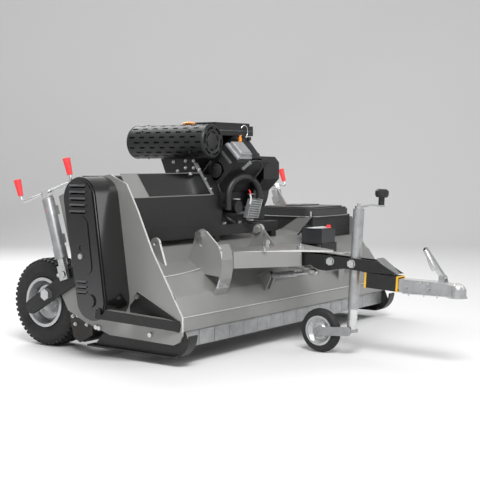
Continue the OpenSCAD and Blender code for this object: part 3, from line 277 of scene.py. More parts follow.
# Gives the faces of a node that pass any of the tests another finish
def paintFaces(name, key, *tests):
    mesh = nodes[name].data
    mesh.materials.append(finish[key])
    index = len(mesh.materials) - 1
    for face in mesh.polygons:
        c = face.center
        at = (c.x * 1000 + drawing["originX"], c.y * 1000 + drawing["originY"], c.z * 1000)
        if any(test(*at, face.normal) for test in tests):
            face.material_index = index


far = math.inf
anywhere = (-far, far)
facingUp = (0.5, far)
sheared = (-0.5, 0.5)


# Test for a face whose centre lies in a box of the drawing; up and side bound its normal's parts
def within(x=anywhere, y=anywhere, z=anywhere, up=anywhere, side=anywhere):
    def test(faceX, faceY, faceZ, normal):
        parts = ((faceX, x), (faceY, y), (faceZ, z), (normal.z, up), (normal.x, side))
        return all(low < value < high for value, (low, high) in parts)
    return test


jack = {"foot": (306, 350), "top": (412, 690), "x": 905, "gripAlong": 51.5, "gripAway": 140}


# The grips are what lies above the crank rod and far from the jack's slanted axis
def onGrip(side):
    start = Vector((side * jack["x"], *jack["top"]))
    axis = (start - Vector((side * jack["x"], *jack["foot"]))).normalized()

    def test(x, y, z, normal):
        rel = Vector((x, y, z)) - start
        along = rel.dot(axis)
        return along > jack["gripAlong"] and (rel - axis * along).length > jack["gripAway"]
    return test


drawbar = {"x": -222, "outside": 33.2, "tubeEnd": (-833, 373.4), "pitch": 3.2, "bands": (8.3, 149.7)}


# The tube's painted bands are its two ends, measured along its slope
def onBand(x, y, z, normal):
    slope = math.radians(drawbar["pitch"])
    endY, endZ = drawbar["tubeEnd"]
    along = (endY - y) * math.cos(slope) + (endZ - z) * math.sin(slope)
    return along < drawbar["bands"][0] or along > drawbar["bands"][1]


arm = {"outer": 897.3, "inner": 876.8}


# Pins and hub caps of a wheel arm stand out on both sides of its plate
def besideArm(x, y, z, normal):
    return abs(x) > arm["outer"] or abs(x) < arm["inner"]


paintFaces("left_crank", "redGrip", onGrip(-1))
paintFaces("right_crank", "redGrip", onGrip(1))
paintFaces("drawbar_tube", "yellowPaint", onBand)
paintFaces("drawbar_plates", "zinc", lambda x, y, z, normal: abs(x - drawbar["x"]) > drawbar["outside"])
# Battery: strap, bright top and terminal cap, then its tray, then pins and nuts on the deck and hitch
paintFaces("battery", "whiteStrap", within(y=(-216, -174), z=(507.9, 512)))
paintFaces("battery", "rimSilver", within(z=(500, 508.2), up=facingUp))
paintFaces("battery", "redGrip", within(y=(-far, -216), z=(508.5, far)))
paintFaces("deck_brackets", "powderBlack", within(x=(329, 471), y=(-263, far), z=(320, 433)))
paintFaces("deck_brackets", "zinc", within(x=(-far, -610.2), y=(-242, -194), z=(506, 554)),
           within(y=(-321, -303), z=(313, 331)))
paintFaces("hitch_frame", "zinc", within(x=(-far, -180), y=(-505, -465), z=(456.2, far)),
           within(x=(-far, -180), y=(-301, -273), z=(456.2, far)), within(y=(-569, -551), z=(347, 365)))
paintFaces("left_wheel_arm", "zinc", besideArm)
paintFaces("right_wheel_arm", "zinc", besideArm)
# Knob of the jockey crank
paintFaces("jockey_crank", "nylonBlack", within(y=(-far, -855), z=(669.5, far)))
# Sheared edges of the plates: rubbed coat and a painted highlight
for name in ("left_side_plate", "right_side_plate"):
    paintFaces(name, "silverEdgeHighlight", within(side=sheared))
# Edges of the deck brackets' lugs: painted highlight
lugPlanes = ((-792, -778), (-614, -596), (-180, -155))
paintFaces("deck_brackets", "silverEdgeHighlight",
           *[within(x=span, up=(0.1, far), side=sheared) for span in lugPlanes])
# Top faces of the belt guard: a painted highlight in the silver coat
paintFaces("belt_guard", "powderSilver", within(up=(0.9, far)))
# Edges of the hitch frame's top plate: painted highlight
paintFaces("hitch_frame", "silverEdgeHighlight", within(z=(447.9, 456.1), up=(-0.3, 0.3)))
# Upward faces at the front of the drawbar plates: painted highlight
paintFaces("drawbar_plates", "blackEdgeHighlight", within(y=(-far, -820), up=(0.3, far)))
# Sloping flange of the muffler stand, then lid and trunk of the hood, then the coupling, whose head gets a
# painted highlight on its upward faces
paintFaces("shaft_housing", "galvanised", within(x=(-322.5, -299.5), y=(-far, 46), z=(690.5, far)))
paintFaces("tank_hood", "hoodTop", within(z=(588, far), up=facingUp))
paintFaces("tank_hood", "nylonBlack", within(z=(-far, 556), up=(-0.9, 0.9)))
paintFaces("coupling_handle", "nylonBlack", within(z=(470, far)))
paintFaces("coupling_head", "silverEdgeHighlight", within(up=facingUp))
print("node faces painted")


# Helpers that shape the extra pieces; all take drawing mm

# Turn that lays the Z axis along a direction
def turnTo(direction):
    return Vector(direction).to_track_quat("Z", "Y").to_matrix().to_4x4()


# Rod from one point to another, or a cone where the second radius differs
def addRod(mesh, start, end, r1, r2=None, segments=24):
    a, b = place(*start), place(*end)
    matrix = Matrix.Translation((a + b) / 2) @ turnTo(b - a)
    r2 = r1 if r2 is None else r2
    bmesh.ops.create_cone(mesh, cap_ends=True, segments=segments, radius1=r1 / 1000, radius2=r2 / 1000,
                          depth=(b - a).length, matrix=matrix)


def roundEdges(mesh, edges, radius, segments):
    bmesh.ops.bevel(mesh, geom=edges, offset=radius / 1000, affect="EDGES", segments=segments,
                    profile=0.5, material=-1)


def edgesOf(verts):
    return list({edge for v in verts for edge in v.link_edges})


# Box between two corners, its edges rounded, turned about its middle
def addBlock(mesh, low, high, turn=None, round=0.0, segments=2):
    a, b = place(*low), place(*high)
    size = Matrix.Diagonal((*(b - a), 1))
    matrix = Matrix.Translation((a + b) / 2) @ (turn or Matrix.Identity(4)) @ size
    made = bmesh.ops.create_cube(mesh, size=1, matrix=matrix)["verts"]
    if round:
        roundEdges(mesh, edgesOf(made), round, segments)
    return made


# The same box by its middle and half sizes
def addBlockAt(mesh, middle, half, turn=None, round=0.0, segments=2):
    middle, half = Vector(middle), Vector(half)
    return addBlock(mesh, middle - half, middle + half, turn, round, segments)


# Draws four corners of a box towards their own middle
def taper(mesh, corners, share):
    middle = sum((v.co for v in corners), Vector()) / 4
    bmesh.ops.scale(mesh, verts=corners, vec=(share, share, share), space=Matrix.Translation(-middle))


bolt = {"washer": 2.5, "washerWide": 0.72, "shank": 4, "shankWide": (0.3, 0.26)}


# Hexagon head on a washer, standing out along a direction, with the screw's end in front
def addBolt(mesh, at, direction, across=19, height=9, washer=True):
    d = Vector(direction).normalized()
    base = Vector(at)
    if washer:
        addRod(mesh, base, base + d * bolt["washer"], across * bolt["washerWide"])
        base = base + d * bolt["washer"]
    top = base + d * height
    wide, narrow = bolt["shankWide"]
    addRod(mesh, base, top, across / math.cos(math.radians(30)) / 2, segments=6)
    addRod(mesh, top, top + d * bolt["shank"], across * wide, across * narrow, segments=12)


# Flat face between points, pulled out to a plate
def addPlate(mesh, points, move, round=0.0, segments=2):
    verts = [mesh.verts.new(place(*point)) for point in points]
    made = bmesh.ops.extrude_face_region(mesh, geom=[mesh.faces.new(verts)])["geom"]
    moved = [v for v in made if isinstance(v, bmesh.types.BMVert)]
    bmesh.ops.translate(mesh, verts=moved, vec=Vector(move) / 1000)
    if round:
        roundEdges(mesh, edgesOf(verts + moved), round, segments)


# Line of points turned fully about an axis through a centre
def spinLine(mesh, points, centre, axis, steps):
    verts = [mesh.verts.new(place(*point)) for point in points]
    edges = [mesh.edges.new(pair) for pair in zip(verts, verts[1:])]
    bmesh.ops.spin(mesh, geom=verts + edges, cent=place(*centre), axis=axis, dvec=(0, 0, 0),
                   angle=2 * math.pi, steps=steps, use_merge=True)


# Ring of round section: a small circle spun about an axis
def addRing(mesh, at, direction, radius, thick, steps=28, segments=8):
    turn = turnTo(direction)
    centre = place(*at)
    matrix = (Matrix.Translation(centre) @ turn @ Matrix.Translation((radius / 1000, 0, 0))
              @ Matrix.Rotation(math.radians(90), 4, "X"))
    ring = bmesh.ops.create_circle(mesh, segments=segments, radius=thick / 1000, matrix=matrix)["verts"]
    bmesh.ops.spin(mesh, geom=ring + edgesOf(ring), cent=centre, axis=turn.to_3x3() @ Vector((0, 0, 1)),
                   dvec=(0, 0, 0), angle=2 * math.pi, steps=steps, use_merge=True)


# Points on a smooth line through the given ones
def smoothPath(points, count):
    pts = [Vector(p) for p in points]
    pts = [pts[0] * 2 - pts[1]] + pts + [pts[-1] * 2 - pts[-2]]
    line = []
    for i in range(1, len(pts) - 2):
        p0, p1, p2, p3 = pts[i - 1:i + 3]
        for k in range(count):
            t = k / count
            line.append(0.5 * (2 * p1 + (p2 - p0) * t + (2 * p0 - 5 * p1 + 4 * p2 - p3) * t * t
                               + (3 * p1 - p0 - 3 * p2 + p3) * t ** 3))
    return line + [pts[-2]]


# Hose, lead or wire: circles bridged along a smooth line
def addHose(mesh, points, r, count=6, segments=10):
    line = smoothPath(points, count)
    last = None
    side = None
    for i, p in enumerate(line):
        ahead = (line[min(i + 1, len(line) - 1)] - line[max(i - 1, 0)]).normalized()
        if side is None:
            side = ahead.orthogonal().normalized()
        side = (side - ahead * side.dot(ahead)).normalized()
        turn = Matrix((side, ahead.cross(side), ahead)).transposed().to_4x4()
        matrix = Matrix.Translation(place(*p)) @ turn
        ring = bmesh.ops.create_circle(mesh, cap_ends=i in (0, len(line) - 1), segments=segments,
                                       radius=r / 1000, matrix=matrix)["verts"]
        edges = [edge for edge in edgesOf(ring) if all(v in ring for v in edge.verts)]
        if last:
            bmesh.ops.bridge_loops(mesh, edges=last + edges)
        last = edges


# Turns a bmesh into a piece that rides a body; smooth is the angle up to which shading runs on
def finishPiece(name, mesh, body, key, smooth=30, replaces=()):
    bmesh.ops.remove_doubles(mesh, verts=mesh.verts, dist=1e-6)
    bmesh.ops.recalc_face_normals(mesh, faces=mesh.faces)
    data = bpy.data.meshes.new(name)
    mesh.to_mesh(data)
    mesh.free()
    data.polygons.foreach_set("use_smooth", [True] * len(data.polygons))
    data.set_sharp_from_angle(angle=math.radians(smooth))
    data.materials.append(finish[key])
    item = bpy.data.objects.new(name, data)
    bpy.context.scene.collection.objects.link(item)
    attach(item, body)
    if replaces:
        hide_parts(*replaces)


# Rear tyres: moulded body with staggered tread blocks, which lean and shrink outwards

tyre = {"radius": 203, "width": 160, "bead": 114, "axleY": 510, "axleZ": 203, "planeX": 770,
        "steps": 96}
tread = {"deep": 7, "root": 5, "inset": 2.2, "round": 48, "rows": 7, "margin": 34, "length": 17,
         "width": 14, "lean": 12, "tilt": 0.32, "top": 0.82, "flat": 40, "fall": 32}


def makeTyre(name, side, body, node):
    mesh = bmesh.new()
    r, w, bead = tyre["radius"], tyre["width"] / 2, tyre["bead"]
    crown = r - tread["deep"]
    # Half of the section: height over the axle, distance from the wheel's plane
    half = [(bead + 1, w - 16), (bead + 5, w - 8), (bead + 12, w - 4), (bead + 18, w - 7),
            (crown - 52, w - 3), (crown - 40, w - 0.5), (crown - 27, w - 2), (crown - 14, w - 8),
            (crown - 5, w - 18), (crown - 1.5, w - 34), (crown, 20)]
    section = [(h, -x) for h, x in half] + [(h, x) for h, x in reversed(half)]
    centre = (side * tyre["planeX"], tyre["axleY"], tyre["axleZ"])
    line = [(centre[0] + x, centre[1], centre[2] + h) for h, x in section + section[:1]]
    spinLine(mesh, line, centre, (1, 0, 0), tyre["steps"])
    tall = tread["deep"] + tread["root"]
    size = Matrix.Diagonal((tread["width"] / 1000, tread["length"] / 1000, tall / 1000, 1))
    for i in range(tread["rows"]):
        x = (i - (tread["rows"] - 1) / 2) * (tyre["width"] - tread["margin"]) / (tread["rows"] - 1)
        drop = max(abs(x) - tread["flat"], 0) ** 1.6 / tread["fall"]
        lean = math.radians(tread["lean"] if i % 2 else -tread["lean"])
        for k in range(tread["round"]):
            angle = 2 * math.pi * (k + 0.5 * (i % 2)) / tread["round"]
            middle = (r - drop - tread["inset"] - tall / 2) / 1000
            matrix = (Matrix.Translation(place(*centre)) @ Matrix.Rotation(angle, 4, "X")
                      @ Matrix.Translation((x / 1000, 0, middle))
                      @ Matrix.Rotation(math.radians(x * tread["tilt"]), 4, "Y")
                      @ Matrix.Rotation(lean, 4, "Z") @ size)
            made = bmesh.ops.create_cube(mesh, size=1, matrix=matrix)["verts"]
            outer = sorted(made, key=lambda v: (v.co - place(*centre)).yz.length)[4:]
            taper(mesh, outer, tread["top"])
    finishPiece(name, mesh, body, "tyreRubber", replaces=(node,))


makeTyre("LeftTyreTread", -1, "left_wheel", "left_tyre")
makeTyre("RightTyreTread", 1, "right_wheel", "right_tyre")
print("rear tyres made")


# Belt cover: hooded louvres over the slots, in an upper and a lower group, in the mid grey edge coat as a
# painted highlight

louvre = {"faceX": -1025, "proud": 9, "tall": 8, "slope": 0.7,
          "groups": [{"y": (60, 150), "z": 635, "pitch": 27, "count": 5},
                     {"y": (59, 117), "z": 297, "pitch": 22, "count": 3}]}


def makeLouvres():
    mesh = bmesh.new()
    face, proud, tall = louvre["faceX"], louvre["proud"], louvre["tall"]
    for group in louvre["groups"]:
        y0, y1 = group["y"]
        for i in range(group["count"]):
            z = group["z"] + i * group["pitch"]
            made = addBlock(mesh, (face - proud, y0, z), (face, y1, z + tall))
            middle = place(face - proud / 2, y0, z + tall / 2)
            brow = [v for v in made if v.co.x < middle.x and v.co.z > middle.z]
            bmesh.ops.translate(mesh, verts=brow, vec=(proud * louvre["slope"] / 1000, 0, 0))
    finishPiece("BeltCoverLouvres", mesh, "machine", "blackEdgeHighlight", 20)


makeLouvres()
print("louvres made")


# Sign plate: bare, with a flat black panel over all but its left end

sign = {"left": -764, "right": -325, "low": (-61.6, 692.3), "high": (10.4, 794.8), "proud": 2.0,
        "thick": 0.75, "endMargin": 4, "lowMargin": 4, "highMargin": 5}


def makeSign():
    mesh = bmesh.new()
    low, high = Vector((0, *sign["low"])), Vector((0, *sign["high"]))
    along = (high - low).normalized()
    out = Vector((0, -along.z, along.y))
    low = low + along * sign["lowMargin"] + out * sign["proud"]
    high = high - along * sign["highMargin"] + out * sign["proud"]
    x0, x1 = sign["left"] + sign["endMargin"], sign["right"] - sign["endMargin"]
    corners = [(x0, low.y, low.z), (x1, low.y, low.z), (x1, high.y, high.z), (x0, high.y, high.z)]
    addPlate(mesh, corners, -out * sign["thick"])
    finishPiece("SignPanelDark", mesh, "machine", "absGloss")


makeSign()
print("sign panel made")


# Muffler: spun and slotted shield, pressed end cap with two rings of slots, and the outlet on top

muffler = {"x": -300, "z": 940, "faceY": -51.5, "endY": 448, "radius": 79.5, "wall": 1.6}
shield = {"start": 6, "firstCell": 8, "cells": 14, "cellLength": 31, "round": 60, "rowStep": 3,
          "tail": 34, "tailRadius": 40, "hole": 14}
cap = {"line": [(0, 0), (30, 0), (38, 2.5), (46, 2.5), (56, 0), (67, 0), (75, 0), (79.5, 7)],
       "steps": 72, "slots": ((38, 46, 0), (56, 67, 30)), "petals": 6, "open": 41,
       "shadowDisc": (7, 9), "shadowDiscRadius": 70}
seam = {"y": (-43, 408), "thick": 2.4, "sink": 1, "tabs": 6, "tabFrom": 100, "tabPitch": 40,
        "tabY": (40, 330), "tabProud": 0.5, "tab": (5, 4), "tabTall": 3}
outlet = {"route": [(122, 1021), (100, 1025), (78, 1024), (52, 1020)], "radius": 7.5}


# Cuts the faces out of a spun shell, then gives what is left its wall
def cutShell(mesh, cut):
    bmesh.ops.delete(mesh, geom=cut, context="FACES")
    bmesh.ops.recalc_face_normals(mesh, faces=mesh.faces)
    bmesh.ops.solidify(mesh, geom=mesh.faces[:], thickness=muffler["wall"] / 1000)


# Each row of slots starts half a pitch from the next
def makeMufflerShield():
    mesh = bmesh.new()
    x, z, r, endY = muffler["x"], muffler["z"], muffler["radius"], muffler["endY"]
    start = muffler["faceY"] + shield["start"]
    first = start + shield["firstCell"]
    line = [(start, r)] + [(first + i * shield["cellLength"], r) for i in range(shield["cells"] + 1)]
    line += [(endY - shield["tail"], r), (endY, shield["tailRadius"]), (endY, shield["hole"])]
    spinLine(mesh, [(x, y, z + h) for y, h in line], (x, 0, z), (0, 1, 0), shield["round"])
    cut = []
    for face in mesh.faces:
        c = face.calc_center_median() - place(x, first, z)
        cell = math.floor(c.y * 1000 / shield["cellLength"])
        turn = math.floor(math.degrees(math.atan2(c.z, c.x)) % 360 / (360 / shield["round"]))
        row, between = divmod(turn, shield["rowStep"])
        if 0 <= cell < shield["cells"] and not between and (cell + row) % 2 == 0:
            cut.append(face)
    cutShell(mesh, cut)
    finishPiece("MufflerShield", mesh, "machine", "heatPaint",
                replaces=("heat_shield",))


def makeMufflerCap():
    mesh = bmesh.new()
    x, y, z = muffler["x"], muffler["faceY"], muffler["z"]
    line = [(x, y + deep, z + r) for r, deep in cap["line"]]
    spinLine(mesh, line, (x, 0, z), (0, 1, 0), cap["steps"])
    bmesh.ops.remove_doubles(mesh, verts=mesh.verts, dist=1e-6)
    cut = []
    for face in mesh.faces:
        c = face.calc_center_median() - place(x, 0, z)
        away, turn = math.hypot(c.x, c.z) * 1000, math.degrees(math.atan2(c.z, c.x))
        for low, high, offset in cap["slots"]:
            if low < away < high and (turn + offset) % (360 / cap["petals"]) < cap["open"]:
                cut.append(face)
    cutShell(mesh, cut)
    finishPiece("MufflerEndCap", mesh, "machine", "heatPaint")
    # Black disc behind the cap's slots: painted shade
    mesh = bmesh.new()
    front, rear = cap["shadowDisc"]
    addRod(mesh, (x, y + front, z), (x, y + rear, z), cap["shadowDiscRadius"], segments=36)
    finishPiece("MufflerSlotShadowDisc", mesh, "machine", "shadowBlack")


def makeMufflerSeams():
    mesh = bmesh.new()
    x, z, r = muffler["x"], muffler["z"], muffler["radius"]
    for y in seam["y"]:
        addRing(mesh, (x, y, z), (0, 1, 0), r - seam["sink"], seam["thick"], 48, 8)
    for k in range(seam["tabs"]):
        angle = math.radians(seam["tabFrom"] + k * seam["tabPitch"])
        out = Vector((math.cos(angle), 0, math.sin(angle)))
        for y in seam["tabY"]:
            at = Vector((x, y, z)) + out * (r + seam["tabProud"])
            addRod(mesh, at, at + out * seam["tabTall"], *seam["tab"], 10)
    finishPiece("MufflerSeams", mesh, "machine", "heatPaint", 40)
    mesh = bmesh.new()
    addHose(mesh, [(x, y, z) for y, z in outlet["route"]], outlet["radius"], 4, 14)
    finishPiece("ExhaustOutlet", mesh, "machine", "copper", 40)


makeMufflerShield()
makeMufflerCap()
makeMufflerSeams()
print("muffler shield, cap and outlet made")


# Engine: shoulder of the blower housing, duct over the front cylinder, cooling fan

engine = {"shaftY": 105, "shaftZ": 690, "blowerZ": 714, "frontX": -160, "rearX": -135, "lean": 45}
shoulder = {"x": (-66, 19.6), "round": 9, "tab": ((0, -44, 948), (19, -28, 966)), "tabRound": 3,
            "ledge": ((-40, -20, 966), (0, 90, 971)),
            "outline": [(-112, 857), (-76, 902), (-34, 950), (-20, 964), (6, 970), (225, 970),
                        (262, 940), (288, 884), (240, 878), (60, 878), (-90, 873)]}
duct = {"x": (-231, -84), "along": (92, 258), "deep": 118, "round": 20, "capAt": (168, -6),
        "cap": ((4, 50), (-5, 42), (-9, 30))}
fan = {"x": 150, "radius": 98, "plate": 5, "hub": 30, "hubRadii": (30, 24), "blades": 14, "bladeX": 14,
       "bladeAway": 66, "bladeHalf": (9, 2, 28), "bladeLean": 24}


# A point on a cylinder's axis: s along it, t across it, upward and to the rear
def onCylinder(s, t, x, front=True):
    lean = -1 if front else 1
    root = math.sqrt(0.5)
    return Vector((x, engine["shaftY"] + lean * root * (s - t), engine["shaftZ"] + root * (s + t)))


def makeEngineShell():
    mesh = bmesh.new()
    x0, x1 = shoulder["x"]
    addPlate(mesh, [(x0, y, z) for y, z in shoulder["outline"]], (x1 - x0, 0, 0), shoulder["round"], 3)
    addBlock(mesh, *shoulder["tab"], round=shoulder["tabRound"])
    addBlock(mesh, *shoulder["ledge"])
    x0, x1 = duct["x"]
    s0, s1 = duct["along"]
    middle = (onCylinder(s0, 0, x0) + onCylinder(s1, 0, x1)) / 2
    half = Vector((x1 - x0, duct["deep"], s1 - s0)) / 2
    turn = Matrix.Rotation(math.radians(engine["lean"]), 4, "X")
    addBlockAt(mesh, middle, half, turn, duct["round"], 4)
    at = onCylinder(*duct["capAt"], x0)
    for (a, ra), (b, rb) in zip(duct["cap"], duct["cap"][1:]):
        addRod(mesh, at + Vector((a, 0, 0)), at + Vector((b, 0, 0)), ra, rb, 36)
    finishPiece("EngineShell", mesh, "machine", "nylonBlack", 40)


def makeFan():
    mesh = bmesh.new()
    y, z, x = engine["shaftY"], engine["blowerZ"], fan["x"]
    addRod(mesh, (x, y, z), (x + fan["plate"], y, z), fan["radius"], segments=48)
    addRod(mesh, (x + fan["plate"], y, z), (x + fan["hub"], y, z), *fan["hubRadii"], 24)
    for k in range(fan["blades"]):
        angle = math.radians(k * 360 / fan["blades"])
        turn = Matrix.Rotation(angle, 4, "X") @ Matrix.Rotation(math.radians(fan["bladeLean"]), 4, "Z")
        out = Vector((0, -math.sin(angle), math.cos(angle))) * fan["bladeAway"]
        addBlockAt(mesh, Vector((x + fan["bladeX"], y, z)) + out, fan["bladeHalf"], turn)
    finishPiece("FlywheelFan", mesh, "machine", "castDark")


# Valve covers: rim bolts and a raised V rib; then the plug boot and the hose clamps

cover = {"boltsAt": 291, "boltX": 48, "boltT": 46, "head": (8, 4), "ribAt": 313, "ribX": 17, "ribLean": 24,
         "ribHalf": (3.5, 34, 2.5), "ribRound": 1.5}
plug = {"boot": ((-150, -116, 817), (-150, -160, 843), 9.5, 8, 16),
        "nut": ((-150, -112, 815), (-150, -122, 821), 13, 12, 6)}
clamps = {"thick": 2.2, "at": [((-46, -90, 690), 16.5), ((-234, -139, 672), 16)]}


def makeEngineMetal():
    mesh = bmesh.new()
    for front in (True, False):
        x = engine["frontX"] if front else engine["rearX"]
        up = onCylinder(1, 0, 0, front) - onCylinder(0, 0, 0, front)
        for dx in (-cover["boltX"], cover["boltX"]):
            for t in (-cover["boltT"], cover["boltT"]):
                at = onCylinder(cover["boltsAt"], t, x + dx, front)
                addBolt(mesh, at, up, *cover["head"], washer=False)
        tilt = Matrix.Rotation(math.radians(engine["lean"] if front else -engine["lean"]), 4, "X")
        for lean in (-1, 1):
            turn = tilt @ Matrix.Rotation(math.radians(lean * cover["ribLean"]), 4, "Z")
            middle = onCylinder(cover["ribAt"], 0, x + lean * cover["ribX"], front)
            addBlockAt(mesh, middle, cover["ribHalf"], turn, cover["ribRound"])
    addRod(mesh, *plug["boot"])
    addRod(mesh, *plug["nut"])
    for at, r in clamps["at"]:
        addRing(mesh, at, (0, 0, 1), r, clamps["thick"], 24, 6)
    finishPiece("EngineMetalFittings", mesh, "machine", "castAluminium", 40)


# Plug lead, then four hoses from the lowest to the highest, then a line's tie; each with its radius
leads = {
    "hoses": [
        ([(-150, -158, 842), (-132, -176, 850), (-100, -182, 842), (-88, -176, 812), (-98, -150, 776),
          (-104, -122, 756)], 4.5),
        ([(-60, -62, 560), (-30, -92, 549), (10, -104, 543), (28, -104, 524), (6, -98, 506),
          (-24, -72, 500)], 7),
        ([(-205, -40, 600), (-215, -70, 582), (-205, -90, 566), (-170, -80, 558)], 8),
        ([(-262, 20, 640), (-250, -30, 652), (-232, -44, 690), (-236, -30, 740)], 6),
        ([(-178, 140, 915), (-214, 120, 905), (-226, 70, 880), (-222, 20, 862)], 7),
    ],
    "tie": ([(-118, -134, 690), (-117, -138, 670), (-119, -133, 645)], 4.5),
    "tieEnd": ([(-116, -126, 712), (-117, -134, 700), (-118, -134, 690)], 3),
}
# Wire clips and seam of the air cleaner, the seam in the mid grey edge coat as a painted highlight;
# breather plug in two lengths
cleaner = {"clips": [[(0, 6, 1010), (14, -1, 1023), (36, -2, 1016), (44, -2, 990), (34, -2, 966),
                      (12, 0, 958), (2, 6, 976)],
                     [(-190, 6, 1006), (-188, -1, 990), (-186, 6, 974)]],
           "wire": 2.2, "seam": ((-207, 6, 993), (107, 228, 998)), "seamRound": 1.5}
breather = {"body": ((-130, -84, 940), (-130, -84, 962), 8, 7, 16),
            "tip": ((-130, -84, 962), (-130, -84, 970), 5, 3.5, 12)}


def makeEngineLeads():
    mesh = bmesh.new()
    for route, r in leads["hoses"]:
        addHose(mesh, route, r)
    finishPiece("EngineLeads", mesh, "machine", "hoseRubber", 50)
    mesh = bmesh.new()
    for route in cleaner["clips"]:
        addHose(mesh, route, cleaner["wire"], 5, 8)
    finishPiece("AirCleanerClips", mesh, "machine", "zinc", 50)
    mesh = bmesh.new()
    addBlock(mesh, *cleaner["seam"], round=cleaner["seamRound"])
    finishPiece("AirCleanerSeam", mesh, "machine", "blackEdgeHighlight")
    mesh = bmesh.new()
    addRod(mesh, *breather["body"])
    addRod(mesh, *breather["tip"])
    finishPiece("BreatherPlug", mesh, "machine", "orangePlug", 40)
    mesh = bmesh.new()
    addHose(mesh, *leads["tie"], 4, 8)
    finishPiece("LineTie", mesh, "machine", "whiteStrap", 40)
    mesh = bmesh.new()
    addHose(mesh, *leads["tieEnd"], 4, 8)
    finishPiece("LineTieEnd", mesh, "machine", "redGrip", 40)


makeEngineShell()
makeFan()
makeEngineMetal()
makeEngineLeads()
print("engine pieces made")


# Zinc bolts: places on one plane, then width across flats and height of the heads

upward = (0, 0, 1)
bolts = {
    "roller": {"x": 866, "at": [(285, 126), (300, 160), (270, 165), (215, 130)], "head": (12, 5)},
    "armPin": {"x": 925, "at": [(323, 347)], "head": (15, 7)},
    "stand": {"x": -304, "at": [(180, 844), (106, 849), (58, 849), (107, 816), (58, 816), (156, 801)],
              "head": (11, 6)},
    "rail": {"y": -35, "z": 549, "across": 20, "at": [(-768, 12), (-363, 20), (-233, 12), (-14, 8)]},
    "sign": {"x": -311, "at": [(-44, 718), (-12, 765), (20, 809)], "out": (0, -0.8, 0.5),
             "head": (9, 4)},
    "single": [((475, -100, 558), 12, 22), ((-400, 6, 785), 16, 5), ((-420, -425, 456), 15, 6)],
}
hitchTop = {"ring": ((-200, -287, 474), (1, 0.2, 0.3), 13, 2), "pin": (-222, -485, 470),
            "pinHead": (15, 5), "bolt": (-330, -360, 456), "boltHead": (14, 6)}
topPlate = {"low": (-262, -736, 447), "high": (-182, -648, 451), "round": 1}


def makeBolts():
    mesh = bmesh.new()
    for s in (-1, 1):
        for key in ("roller", "armPin"):
            group = bolts[key]
            for y, z in group["at"]:
                addBolt(mesh, (s * group["x"], y, z), (s, 0, 0), *group["head"])
    stand, rail, plate = bolts["stand"], bolts["rail"], bolts["sign"]
    for y, z in stand["at"]:
        addBolt(mesh, (stand["x"], y, z), (-1, 0, 0), *stand["head"])
    for x, height in rail["at"]:
        addBolt(mesh, (x, rail["y"], rail["z"]), upward, rail["across"], height)
    for y, z in plate["at"]:
        addBolt(mesh, (plate["x"], y, z), plate["out"], *plate["head"])
    for at, across, height in bolts["single"]:
        addBolt(mesh, at, upward, across, height)
    finishPiece("ZincBolts", mesh, "machine", "zinc")


def makeHitchFittings():
    mesh = bmesh.new()
    addRing(mesh, *hitchTop["ring"])
    addBolt(mesh, hitchTop["pin"], upward, *hitchTop["pinHead"], washer=False)
    addBolt(mesh, hitchTop["bolt"], upward, *hitchTop["boltHead"])
    finishPiece("HitchTopPins", mesh, "hitch", "zinc")
    mesh = bmesh.new()
    addBlock(mesh, topPlate["low"], topPlate["high"], round=topPlate["round"])
    finishPiece("DrawbarTopPlate", mesh, "drawbar", "zinc")


makeBolts()
print("bolts made")


# Coupling: pressed lever over its bar, flange along the foot of the head, bolts below and beside it

lever = {"foot": (-1147, 400), "tip": (-1101, 482), "wide": 42, "deep": 22, "top": 0.62, "round": 4}
flange = {"away": 33, "wide": 10, "y": (-1236, -1012), "z": (296, 300), "round": 1,
          "below": (-1040, -1110, -1170), "belowHead": (9, 4),
          "beside": ((-1096, 348), (-1130, 346)), "besideHead": (8, 2)}


def makeCoupling():
    mesh = bmesh.new()
    foot, tip = Vector((drawbar["x"], *lever["foot"])), Vector((drawbar["x"], *lever["tip"]))
    along = tip - foot
    turn = Matrix.Rotation(math.atan2(-along.y, along.z), 4, "X")
    half = Vector((lever["wide"], lever["deep"], along.length)) / 2
    made = addBlockAt(mesh, (foot + tip) / 2, half, turn)
    taper(mesh, sorted(made, key=lambda v: v.co.z)[4:], lever["top"])
    roundEdges(mesh, mesh.edges[:], lever["round"], 3)
    finishPiece("CouplingLever", mesh, "handle", "zinc", 40)
    mesh = bmesh.new()
    (y0, y1), (z0, z1), wide = flange["y"], flange["z"], flange["wide"]
    for s in (-1, 1):
        x = drawbar["x"] + s * flange["away"]
        addBlock(mesh, (x - wide / 2, y0, z0), (x + wide / 2, y1, z1), round=flange["round"])
        for y in flange["below"]:
            addBolt(mesh, (x, y, z0), (0, 0, -1), *flange["belowHead"], washer=False)
        for y, z in flange["beside"]:
            addBolt(mesh, (x, y, z), (s, 0, 0), *flange["besideHead"], washer=False)
    finishPiece("CouplingFlange", mesh, "drawbar", "zinc")


makeCoupling()
print("coupling trim made")


# Slope plate of the drawbar; dished sides of the jockey rim with four nuts each

slopePlate = {"top": (-888, 436), "foot": (-972, 376), "thick": 5, "half": 30.6}
jockey = {"y": -596, "z": 98.6, "dish": [(21, 12), (27, 14), (33, 8), (43, 6), (50, 11), (57.6, 19)],
          "steps": 48, "nuts": 4, "nutsFrom": 45, "nutsAway": 40, "nutX": 5, "nutHead": (9, 5)}


def makeSlopePlate():
    mesh = bmesh.new()
    x0, thick, half = drawbar["x"] - slopePlate["half"], slopePlate["thick"], slopePlate["half"]
    (y0, z0), (y1, z1) = slopePlate["top"], slopePlate["foot"]
    side = [(y0, z0), (y0, z0 - thick), (y1, z1 - thick), (y1, z1)]
    addPlate(mesh, [(x0, y, z) for y, z in side], (2 * half, 0, 0))
    finishPiece("DrawbarSlopePlate", mesh, "drawbar", "galvanised")


